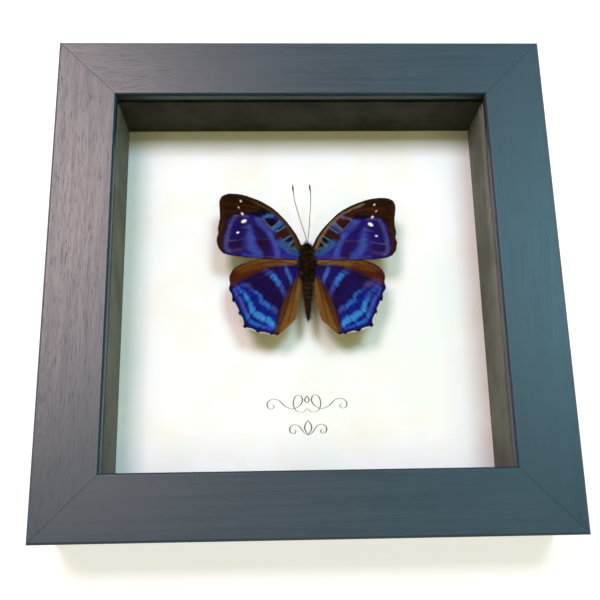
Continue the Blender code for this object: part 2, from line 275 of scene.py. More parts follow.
def makeScaleRows():      # rows of wing scales across the run from the hinge, on the wing's own map
    takes = [("Vector", "Vector", None), ("Row Pitch", "Float", 0.17)]
    gives = [("Rows", "Float"), ("Flecks", "Float"), ("Height", "Float")]
    tree, taken, given = newGroup("scale rows", takes, gives)
    vector = taken.outputs["Vector"]
    perRow = maths(tree, "DIVIDE", 1.0, taken.outputs["Row Pitch"])
    scaled = put(tree, "VectorMath", {0: vector, "Scale": perRow}, operation="SCALE").outputs[0]
    rows = put(tree, "TexWave", {"Vector": scaled, "Scale": 0.32, "Distortion": 1.6, "Detail": 2.0,
                                 "Detail Scale": 1.4}, bands_direction="X").outputs["Fac"]
    cells = put(tree, "TexVoronoi", {"Vector": stretched(tree, scaled, (1.0, 1.6, 1)), "Scale": 1.0})
    split = put(tree, "SeparateColor", {"Color": cells.outputs["Color"]}).outputs[0]
    height = maths(tree, "ADD", rows, maths(tree, "MULTIPLY", split, 0.5))
    giveOut(tree, given, Rows=rows, Flecks=split, Height=height)
    return tree


woodGrain = makeWoodGrain()
paperFibre = makePaperFibre()
metalRubbing = makeRubbing()
scaleRows = makeScaleRows()
print("shared effects ready")


# moulding: four mitred rails in dark painted wood

mouldingSet = {
    "paint": (31, 49, 62), "paint light": (37, 57, 71), "pore paint": (36, 46, 53), "pore cover": 0.5,
    "figure": 0.1, "shine": 0.42, "shine spread": 0.08, "pore shine": 0.2, "pore depth": 0.013,
    "edge round": 0.08, "cut end": 0.3, "joint": 0.205,
}


def paintedWood(name, turn, offset):
    material, tree, shader = newMaterial(name)
    vector = stretched(tree, objectPlace(tree), (1, 1, 1), offset, (0, 0, turn))
    values = {"Vector": vector, "Pore Cover": mouldingSet["pore cover"], "Figure": mouldingSet["figure"]}
    grain = putGroup(tree, woodGrain, values)
    pores, figure, cloud = (grain.outputs[label] for label in ("Pores", "Figure", "Cloud"))
    labels = ("paint", "paint light", "pore paint")
    paint, light, inPores = (linear(*mouldingSet[label]) for label in labels)
    tone = blend(tree, remap(tree, figure, 0.3, 0.7), paint, light)
    tone = blend(tree, remap(tree, cloud, 0.35, 0.7, 0.0, 0.35), tone, light)
    tone = blend(tree, remap(tree, pores, 0, 1, 0, 0.5), tone, inPores)
    low = mouldingSet["shine"] - mouldingSet["shine spread"] / 2
    shine = remap(tree, figure, 0.3, 0.7, low, low + mouldingSet["shine spread"])
    rough = maths(tree, "ADD", shine, maths(tree, "MULTIPLY", pores, mouldingSet["pore shine"]))
    surface(tree, shader, tone, rough, grain.outputs["Height"], mouldingSet["pore depth"], 0.8)
    return material


def workingCopy(node):      # a welded copy of a CAD piece, with its flat faces whole again
    piece = bpy.data.objects.new(node + "_made", nodes[node].data.copy())
    bpy.context.scene.collection.objects.link(piece)
    startEdit(piece)
    bpy.ops.mesh.remove_doubles(threshold=0.002 * mm)
    bpy.ops.mesh.dissolve_limited(angle_limit=math.radians(0.5))
    endEdit()
    return piece


def softEdges(piece, width, segments=2, angle=28):
    applyModifier(piece, "BEVEL", width=width * mm, segments=segments, limit_method="ANGLE",
                  angle_limit=math.radians(angle), use_clamp_overlap=True)
    smoothByAngle(piece, 60)
    # flats shade flat
    applyModifier(piece, "WEIGHTED_NORMAL", mode="FACE_AREA", weight=100, keep_sharp=True)


def meetAtMitres(rail, along):      # the cut ends of the rails are brought together
    for vertex in rail.data.vertices:
        spot = vertex.co
        if abs(abs(spot.x) - abs(spot.y)) < mouldingSet["cut end"] * mm:
            spot[along] += math.copysign(mouldingSet["joint"] * mm, spot[along])


def makeMoulding():
    alongX = paintedWood("slate paint on cross rails", 0.0, (0.0, 0.0, 0.0))
    alongY = paintedWood("slate paint on side rails", math.radians(90), (0.4, 0.2, 0.0))
    for side in ("top", "bottom", "left", "right"):
        isCross = side in ("top", "bottom")
        material = alongX if isCross else alongY
        rail = workingCopy("rail_" + side)
        meetAtMitres(rail, 0 if isCross else 1)
        softEdges(rail, mouldingSet["edge round"])
        finishPiece(rail, "moulding_" + side, material, ["rail_" + side])


makeMoulding()
print("moulding done")


# glass

glassSet = {"tint": (250, 253, 252), "roughness": 0.0, "bend": 1.5, "shine": 0.12}


def clearGlass():
    material, tree, shader = newMaterial("picture glass")
    shader.inputs["Base Color"].default_value = linear(*glassSet["tint"])
    shader.inputs["Roughness"].default_value = glassSet["roughness"]
    shader.inputs["IOR"].default_value = glassSet["bend"]
    shader.inputs["Transmission Weight"].default_value = 1.0
    shader.inputs["Specular IOR Level"].default_value = glassSet["shine"]
    letThrough = put(tree, "BsdfTransparent", {"Color": (1, 1, 1, 1)})
    lampRay = put(tree, "LightPath").outputs["Is Shadow Ray"]
    mixed = put(tree, "MixShader", {0: lampRay, 1: shader.outputs["BSDF"], 2: letThrough.outputs["BSDF"]})
    tree.links.new(mixed.outputs[0], tree.nodes["Material Output"].inputs["Surface"])
    return material


def dress(node, material):      # a CAD piece kept as it is, in a finish made here
    nodes[node].data.materials.clear()
    nodes[node].data.materials.append(material)


dress("glass_pane", clearGlass())
print("glass done")


# card, spacers and back board

cardSet = {
    "paper": (249, 249, 248), "warm": (246, 242, 234), "cool": (241, 246, 242), "fleck": (228, 222, 210),
    "edge": 0.25,
}
spacerSet = {
    "paper": (114, 115, 102), "dark": (92, 93, 82), "fibre": (134, 133, 118), "edge": 0.25,
    # the shaded tones are painted shade: a darker copy of the spacer paper for the top wall, which the lamps
    # don't reach
    "shaded paper": (58, 57, 46), "shaded dark": (40, 39, 30), "shaded fibre": (76, 74, 62),
}
boardSet = {"board": (122, 88, 56), "dark": (88, 60, 36), "fibre": (160, 124, 84), "edge": 0.3}


def paperFinish(name, tones, fibreScale, mottleScale, strength, roughness, depth):
    material, tree, shader = newMaterial(name)
    place = objectPlace(tree)
    values = {"Vector": place, "Fibre Scale": fibreScale, "Mottle Scale": mottleScale}
    paper = putGroup(tree, paperFibre, values)
    fibre, fleck, mottle = (paper.outputs[label] for label in ("Fibre", "Fleck", "Mottle"))
    tone = blend(tree, remap(tree, mottle, 0.45, 0.68), linear(*tones[0]), linear(*tones[1]))
    patches = remap(tree, noise(tree, place, mottleScale * 0.6), 0.48, 0.66)
    tone = blend(tree, patches, tone, linear(*tones[2]))
    tone = blend(tree, maths(tree, "MULTIPLY", fleck, strength), tone, linear(*tones[3]))
    shade = remap(tree, fibre, 0.3, 0.7, 1 - strength * 0.4, 1.0)
    rough = remap(tree, fibre, 0.3, 0.7, roughness - 0.06, roughness + 0.06)
    surface(tree, shader, shaded(tree, tone, shade), rough, paper.outputs["Height"], depth, 0.6)
    shader.inputs["Specular IOR Level"].default_value = 0.1
    return material


def makeSheet(node, name, paper, edge):
    sheet = workingCopy(node)
    softEdges(sheet, edge)
    finishPiece(sheet, name, paper, [node])


def makeSheets():
    cardTones = [cardSet[name] for name in ("paper", "warm", "cool", "fleck")]
    cardPaper = paperFinish("backing card paper", cardTones, 1400.0, 60.0, 0.12, 0.8, 0.03)
    makeSheet("backing_card", "card", cardPaper, cardSet["edge"])
    spacerTones = [spacerSet[name] for name in ("paper", "dark", "dark", "fibre")]
    spacerPaper = paperFinish("spacer paper", spacerTones, 1100.0, 90.0, 0.5, 0.62, 0.05)
    # the top wall gets the darker copy of the spacer paper, as painted shade
    paintedShadeTones = [spacerSet["shaded " + name] for name in ("paper", "dark", "dark", "fibre")]
    paintedShadePaper = paperFinish("spacer paper darkened as painted shade", paintedShadeTones, 1100.0, 90.0, 0.5, 0.62, 0.05)
    for side in ("top", "bottom", "left", "right"):
        paper = paintedShadePaper if side == "top" else spacerPaper
        makeSheet("spacer_" + side, "wall_" + side, paper, spacerSet["edge"])
    boardTones = [boardSet[name] for name in ("board", "dark", "board", "fibre")]
    hardboard = paperFinish("hardboard", boardTones, 700.0, 110.0, 0.6, 0.7, 0.08)
    makeSheet("back_board", "hardboard_back", hardboard, boardSet["edge"])


makeSheets()
print("card, walls and back board done")


# metal at the back

metalSet = {
    "point": (150, 152, 155), "point dull": (104, 104, 104),
    "hanger": (190, 160, 96), "hanger dull": (120, 92, 50), "edge": 0.08, "metal": 0.9, "scratch depth": 0.01,
}


def rubbedMetal(name, tone, dull, roughness, scratchScale):
    material, tree, shader = newMaterial(name)
    rubbed = putGroup(tree, metalRubbing, {"Vector": objectPlace(tree), "Scratch Scale": scratchScale})
    scratches, patches = rubbed.outputs["Scratches"], rubbed.outputs["Dull"]
    tone = blend(tree, patches, linear(*tone), linear(*dull))
    shader.inputs["Metallic"].default_value = metalSet["metal"]
    rough = maths(tree, "ADD", remap(tree, patches, 0, 1, roughness, roughness + 0.2),
                  maths(tree, "MULTIPLY", scratches, 0.12))
    surface(tree, shader, tone, rough, scratches, metalSet["scratch depth"], 0.4)
    return material


def makeMetalwork():
    pointSteel = rubbedMetal("framers point steel", metalSet["point"], metalSet["point dull"], 0.3, 1.0)
    brassed = rubbedMetal("brassed hanger steel", metalSet["hanger"], metalSet["hanger dull"], 0.26, 0.8)
    for side in ("top", "left", "bottom", "right"):
        for number in ("1", "2"):
            node = f"point_{side}_{number}"
            makeSheet(node, "framers_" + node, pointSteel, metalSet["edge"])
    makeSheet("sawtooth_hanger", "toothed_hanger", brassed, metalSet["edge"])
    for number in ("1", "2"):
        dress("hanger_nail_" + number, brassed)


makeMetalwork()
print("metalwork done")


# pen flourishes on the card, in plain grey ink

def smoothPath(points, per=5):
    points = np.array(points, float)
    if len(points) < 3:
        return points
    padded = np.vstack([2 * points[0] - points[1], points, 2 * points[-1] - points[-2]])
    made = []
    for index in range(1, len(padded) - 2):
        before, here, there, after = padded[index - 1:index + 3]
        for t in np.arange(per) / per:
            curve = (2 * before - 5 * here + 4 * there - after) * t ** 2
            twist = (3 * here - before - 3 * there + after) * t ** 3
            made.append(0.5 * (2 * here + (there - before) * t + curve + twist))
    return np.array(made + [points[-1]])


penSet = {
    "ink": (92, 92, 98), "pooled ink": (70, 70, 76), "line": 0.16, "raise": 0.02, "flatness": 0.15,
    "flourishes": [      # middle, then the right half of each pen stroke in mm
        ((0.6, -35.6), [
            [(0, -1.5), (1.5, -2.6), (3.5, -2.0), (4.3, 0.2), (3.5, 2.4), (2.0, 2.6), (1.4, 1.1), (2.4, -0.6),
             (4.6, -1.5), (6.9, -0.6), (8.7, 1.1), (10.7, 1.6), (12.3, 0.5), (12.2, -1.0), (11.0, -1.5),
             (10.2, -0.7), (10.9, 0.0)],
            [(0, 0.2), (0.7, 1.2), (0, 2.6)],
        ]),
        ((0.8, -43.3), [
            [(0, -2.0), (1.3, -1.2), (2.6, 0.6), (4.2, 1.3), (5.6, 0.4), (5.5, -1.0), (4.4, -1.5), (3.8, -0.7),
             (4.4, -0.2)],
            [(0, -2.0), (1.0, -0.2), (0.9, 1.2), (0, 2.6)],
        ]),
    ],
}


def inkFinish():
    material, tree, shader = newMaterial("grey pen ink")
    pooled = noise(tree, objectPlace(tree), 900, 3)
    share = remap(tree, pooled, 0.35, 0.7, 0, 0.5)
    tone = blend(tree, share, linear(*penSet["ink"]), linear(*penSet["pooled ink"]))
    surface(tree, shader, tone, remap(tree, pooled, 0.3, 0.7, 0.5, 0.7), pooled, 0.01, 0.5)
    return material


def makeFlourishes():
    ink = inkFinish()
    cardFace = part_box("backing_card")[1].z
    for number, (middle, strokes) in enumerate(penSet["flourishes"], 1):
        curve = bpy.data.curves.new("flourish", "CURVE")
        curve.dimensions = "3D"
        curve.bevel_depth = penSet["line"] * mm
        curve.bevel_resolution = 1
        curve.use_fill_caps = True
        for stroke in strokes:
            path = smoothPath(stroke, 9)
            for side in (-1, 1):
                spline = curve.splines.new("POLY")
                spline.points.add(len(path) - 1)
                for index, point in enumerate(spline.points):
                    point.co = (side * path[index, 0] * mm, path[index, 1] * mm, 0, 1)
                    ahead = path[min(index + 1, len(path) - 1)] - path[max(index - 1, 0)]
                    steep = abs(ahead[1]) / (np.hypot(*ahead) + 1e-9)
                    share = index / (len(path) - 1)
                    point.radius = (0.4 + 0.85 * steep ** 2) * (0.35 + 0.65 * math.sin(math.pi * share) ** 0.4)
        piece = bpy.data.objects.new("flourish", curve)
        bpy.context.scene.collection.objects.link(piece)
        pickUp(piece)
        bpy.ops.object.convert(target="MESH")
        piece = bpy.context.object
        piece.scale = (1, 1, penSet["flatness"])
        piece.location = (middle[0] * mm, middle[1] * mm, cardFace + penSet["raise"] * mm)
        fixPlace(piece)
        startEdit(piece)
        bpy.ops.mesh.remove_doubles(threshold=0.0005 * mm)
        bpy.ops.mesh.normals_make_consistent(inside=False)
        endEdit()
        smoothByAngle(piece, 50)
        finishPiece(piece, f"flourish_{number}", ink)


makeFlourishes()
print("flourishes done")


# wings: outline, veins and markings are in millimetres from the hinge, x outwards and y to the head

specimenSet = {"body middle": 1.05}

wingTones = {      # colours read as 0 to 255
    "apexBrown": (36, 14, 4), "apexStreak": (78, 40, 14), "apexEdge": (66, 34, 14),
    # the pale tan leading-edge tone below is a painted highlight, laid on the right wings only
    "costaGold": (84, 60, 34), "costaDark": (40, 23, 11), "costaPaintedSheen": (152, 117, 84),
    "violet": (36, 22, 104), "inkViolet": (28, 13, 72), "plum": (36, 11, 32), "nightPlum": (25, 7, 58),
    "bandBlue": (68, 84, 166), "softBlue": (58, 60, 150), "duskBlue": (84, 84, 130),
    "azure": (54, 94, 148), "paleTeal": (106, 136, 164), "tanVein": (126, 104, 108), "ink": (10, 6, 22),
    "rust": (54, 20, 14), "mauve": (98, 66, 98), "duskRose": (122, 104, 124),
    "white": (252, 246, 250), "blush": (238, 220, 212),
    "royal": (12, 34, 138), "sky": (50, 118, 200), "glow": (68, 152, 224), "steel": (84, 92, 178),
    "margin": (18, 10, 22), "fringe": (246, 238, 230),
    "coverGold": (122, 82, 38), "coverRust": (74, 30, 5), "foldGold": (120, 80, 36), "foldRust": (90, 50, 20),
    "under": (128, 100, 66),
}
wingSet = {
    "rim points": 480, "rings": 44, "thick": 0.1, "vein rise": 0.07, "vein width": 0.32, "pleat": 0.05,
    "wave": 0.07, "crinkle": 0.025, "fringe": 0.38, "row pitch": 0.16, "scale rise": 0.02, "matt": 0.5,
}
costaLine = [(0.5, 2.3), (2.3, 6.6), (4.8, 10.3), (8.1, 13.7), (11.9, 16.2), (15.3, 17.9)]
foreWing = {
    "outline": [
        (-0.9, 0.4), (-0.5, 2.8), (1.3, 6.8), (4.1, 10.7), (7.6, 14.45), (11.45, 17.1), (15.2, 18.8),
        (18.8, 19.9), (22.5, 20.1), (24.7, 19.2), (25.4, 17.2), (25.2, 14.4), (25.0, 11.7), (25.5, 8.5),
        (25.3, 6.7), (25.7, 4.6), (25.1, 1.9), (23.4, 0.1), (20.3, -0.6), (16.4, -1.0), (11.9, -1.15),
        (7.7, -1.25), (3.6, -1.2), (1.2, -1.2), (-0.8, -1.0),
    ],
    "hinge": (2.4, 9.3), "lean": -1.9, "height left": 0.985, "height right": 0.968,
    "middle": (14.5, 8.0), "level": 17.35, "root": (-3.0, -1.0),
    "veins": [
        [(0.4, 1.6), (2.6, 6.6), (5.8, 11.2), (9.6, 14.9), (14.2, 17.7), (19.5, 19.4)],
        [(9.6, 13.9), (13.5, 15.9), (18.5, 17.4), (24.8, 18.2)],
        [(12.2, 13.6), (17, 14.9), (25.1, 14.9)],
        [(12.2, 12.7), (14.8, 12.3), (16.8, 12.4), (19, 12.6), (21.9, 12.6), (24.9, 12.2)],
        [(10.9, 11.2), (14.8, 10.6), (20, 10.6), (25, 10.4)],
        [(8.6, 8.1), (11.5, 8.3), (14.7, 8.6), (17.6, 9.0), (21.1, 8.5), (25.4, 7.4)],
        [(6.2, 5.1), (8.8, 4.9), (14, 5.1), (18.4, 4.8), (22.6, 4.3), (25.6, 4.6)],
        [(1, -0.5), (7, -0.5), (13, -0.3), (19, 0.4), (24, 1.6)],
        [(1, -0.2), (3.9, 2.8), (6.2, 5.1), (8.6, 8.1), (10.9, 11.2), (12.2, 12.7)],
    ],
    "dark veins": (0.22, 0.3, 0.3),
    "strokes": [      # tone, width at both ends, softness, strength, path
        ("violet", (40, 40), 1, 1.0, [(4, 8), (22, 8)]),
        ("inkViolet", (4.6, 3.0), 2.2, 0.8, [(12.9, 8.4), (12.1, 6.2)]),
        ("inkViolet", (5.0, 4.0), 2.4, 0.85, [(19.4, 11), (18.6, 7.6), (19.8, 5.2), (20.4, 2.6)]),
        ("plum", (3.0, 3.6), 1.6, 0.92, [(11.9, 4.4), (10.9, 2.2), (10.1, -1.2)]),
        ("plum", (2.8, 2.4), 1.8, 0.75, [(17.2, 3.3), (19.2, 2.4), (20.9, 2.9)]),
        ("mauve", (1.2, 0.8), 0.9, 0.55, [(18.4, 1.4), (20.8, 0.9), (22.6, 1.1)]),
        ("softBlue", (1.4, 1.0), 1.0, 0.5, [(16.6, 6.8), (17.4, 4.2), (17.2, 2.2)]),
        ("bandBlue", (2.2, 1.6), 1.2, 0.9, [(13.1, 12.2), (12.3, 10.4), (10.5, 8.4), (9.1, 6.6)]),
        ("bandBlue", (1.6, 1.9), 1.2, 0.95, [(9.1, 6.6), (7.8, 3.9), (7.0, 1.2), (6.8, -0.6)]),
        ("softBlue", (1.6, 1.2), 1.4, 0.35, [(4.0, 2.2), (4.6, -0.6)]),
        ("bandBlue", (1.4, 2.0), 1.4, 0.8, [(15.9, 9.0), (15.3, 7.4), (15.2, 5.6)]),
        ("bandBlue", (2.6, 2.6), 1.6, 0.95, [(15.2, 4.8), (15.0, 3.1), (14.1, 1.3), (12.6, 0.0)]),
        ("bandBlue", (1.0, 0.7), 0.8, 0.6, [(17.4, -0.2), (14.2, -0.8), (11.2, -1.0)]),
        ("duskBlue", (0.9, 1.3), 0.9, 0.8, [
            (20.6, 12.2), (21.5, 10.4), (22.2, 8.1), (22.7, 5.7), (22.9, 3.7), (22.9, 1.9),
            (22.0, 0.6)]),
        ("apexBrown", (7.4, 3.6), 1.0, 1.0, [(13.0, 18.0), (17.5, 16.3), (21.8, 15.0), (24.4, 11.9)]),
        ("apexBrown", (8, 8), 1, 1.0, [(12, 19.6), (25, 19)]),
        ("apexBrown", (3.2, 2.4), 1.0, 1.0, [
            (25.0, 15.0), (24.4, 9.4), (25.3, 6.2), (25.3, 3.2), (24.8, 0.4)]),
        ("apexEdge", (1.3, 1.0), 0.9, 0.7, [
            (24.9, 17.8), (24.6, 14.0), (24.4, 11.4), (24.9, 8.4), (24.8, 4.4), (24.3, 1.6)]),
        ("apexBrown", (1.6, 0.7), 0.8, 0.9, [(24.6, 0.6), (22, -0.7), (18, -1.2), (12, -1.7)]),
        ("ink", (3.0, 1.2), 1.0, 1.0, [(10.6, 14.6), (12.6, 13.7), (15.8, 13.5)]),
        ("apexStreak", (0.7, 0.3), 0.6, 0.5, [(13.2, 15.6), (18.4, 16.4), (24.6, 16.9)]),
        ("apexStreak", (0.6, 0.3), 0.6, 0.45, [(14, 14.4), (18.4, 14.7), (24.8, 13.6)]),
        ("apexStreak", (0.9, 0.5), 0.8, 0.5, [(23.8, 10.4), (24.6, 7.0)]),
        ("ink", (3.6, 2.4), 0.8, 1.0, [
            (1.6, 1.8), (3.2, 4.3), (5.0, 6.8), (7.2, 9.3), (9.4, 11.4), (10.4, 13)]),
        ("rust", (3.0, 2.4), 0.9, 1.0, [(3.2, 8.2), (5.0, 6.9), (6.8, 6.0)]),
        ("azure", (1.5, 1.1), 0.7, 1.0, [(5.9, 10.7), (6.8, 9.7), (8.1, 8.7)]),
        ("paleTeal", (0.45, 0.3), 0.4, 0.8, [(6.3, 11.4), (7.4, 10.2), (8.7, 8.9)]),
        ("paleTeal", (0.5, 0.4), 0.45, 0.8, [(4.6, 9.5), (6.0, 8.4), (7.5, 7.6)]),
        ("azure", (1.4, 1.1), 0.7, 1.0, [(8.9, 13.0), (10.2, 12.9), (11.1, 12.6)]),
        ("paleTeal", (0.5, 0.4), 0.45, 0.75, [(2.6, 6.6), (4.1, 5.5), (5.6, 4.4)]),
        ("paleTeal", (0.5, 0.5), 0.45, 0.75, [(1.9, 4.9), (2.8, 3.9), (3.8, 2.9)]),
        ("azure", (1.2, 2.2), 1.2, 0.9, [(0.6, 0.1), (2.6, 0.9), (4.6, 2.6), (5.6, 4.2)]),
        ("paleTeal", (0.9, 0.6), 0.8, 0.45, [(0.8, 1.4), (1.5, 2.5)]),
        ("paleTeal", (1.1, 0.9), 0.9, 0.35, [(2.2, 2.0), (3.8, 3.6)]),
        ("softBlue", (1.6, 1.2), 1.0, 0.75, [(1.4, -0.9), (4.4, -0.6)]),
        ("tanVein", (0.5, 0.45), 0.4, 0.75, [(8.2, 7.9), (9.4, 9.2), (10.6, 10.6), (11.6, 12.0)]),
        ("tanVein", (0.35, 0.3), 0.4, 0.55, [(8.8, 4.9), (14, 5.1)]),
        ("tanVein", (0.35, 0.4), 0.4, 0.6, [(17.8, 4.9), (20.4, 4.3), (22.6, 4.3)]),
        ("tanVein", (0.5, 0.4), 0.5, 0.65, [(16.4, 12.5), (19, 12.7), (20.8, 12.7)]),
        ("tanVein", (0.45, 0.35), 0.5, 0.5, [(15.8, 9.0), (18.2, 8.7)]),
        ("mauve", (0.9, 0.7), 0.7, 0.6, [(5.4, -1.1), (9.8, -0.9)]),
        ("costaDark", (2.8, 3.0), 0.6, 1.0, [
            (-0.6, 2.4), (1.1, 7.0), (3.7, 11.1), (7.2, 14.9), (11.3, 17.6), (15.2, 19.2), (19, 20.2)]),
        ("costaGold", (1.0, 0.6), 0.5, 0.9, costaLine),
    ],
    "left touches": [
        ("plum", (3.4, 2.6), 2.0, 0.7, [(11.6, 5.0), (10.2, 1.6)]),
        ("plum", (3.6, 2.6), 2.0, 0.45, [(13.0, 7.8), (12.4, 6.2)]),
        ("inkViolet", (3.0, 2.4), 1.8, 0.8, [(19.2, 8.0), (19.0, 3.6)]),
    ],
    "right touches": [
        ("violet", (5.0, 4.0), 2.4, 0.55, [(12.4, 8.0), (11.4, 3.4)]),
        ("violet", (3.4, 2.8), 2.0, 0.5, [(18.6, 8.2), (19.4, 3.6)]),
        ("rust", (2.6, 2.2), 1.0, 1.0, [(8.2, 11.4), (11.4, 13.8)]),
        ("apexStreak", (1.4, 0.8), 1.2, 0.6, [(11.2, 14.9), (16.4, 16.2), (22.0, 15.9)]),
        ("duskRose", (0.9, 0.5), 0.7, 0.8, [(5.7, 10.9), (6.9, 9.9), (8.6, 8.8)]),
        ("duskRose", (0.8, 0.6), 0.7, 0.7, [(8.8, 13.0), (10.2, 12.9), (11.5, 12.4)]),
        ("rust", (1.0, 0.8), 0.7, 0.7, [(6.4, 9.8), (8.2, 8.8)]),
        # painted highlight along the right forewing's leading edge
        ("costaPaintedSheen", (0.9, 0.6), 0.5, 0.75, costaLine),
    ],
    "spots": [      # middle, long and short size, lean in degrees, tone
        ((18.85, 17.8), 0.75, 0.6, 60, "blush"), ((19.45, 15.6), 0.55, 0.45, 70, "blush"),
        ((18.2, 13.45), 1.0, 0.75, 50, "blush"), ((17.6, 10.9), 1.7, 1.0, -32, "white"),
        ((19.4, 7.0), 0.8, 0.6, -20, "white"),
    ],
}
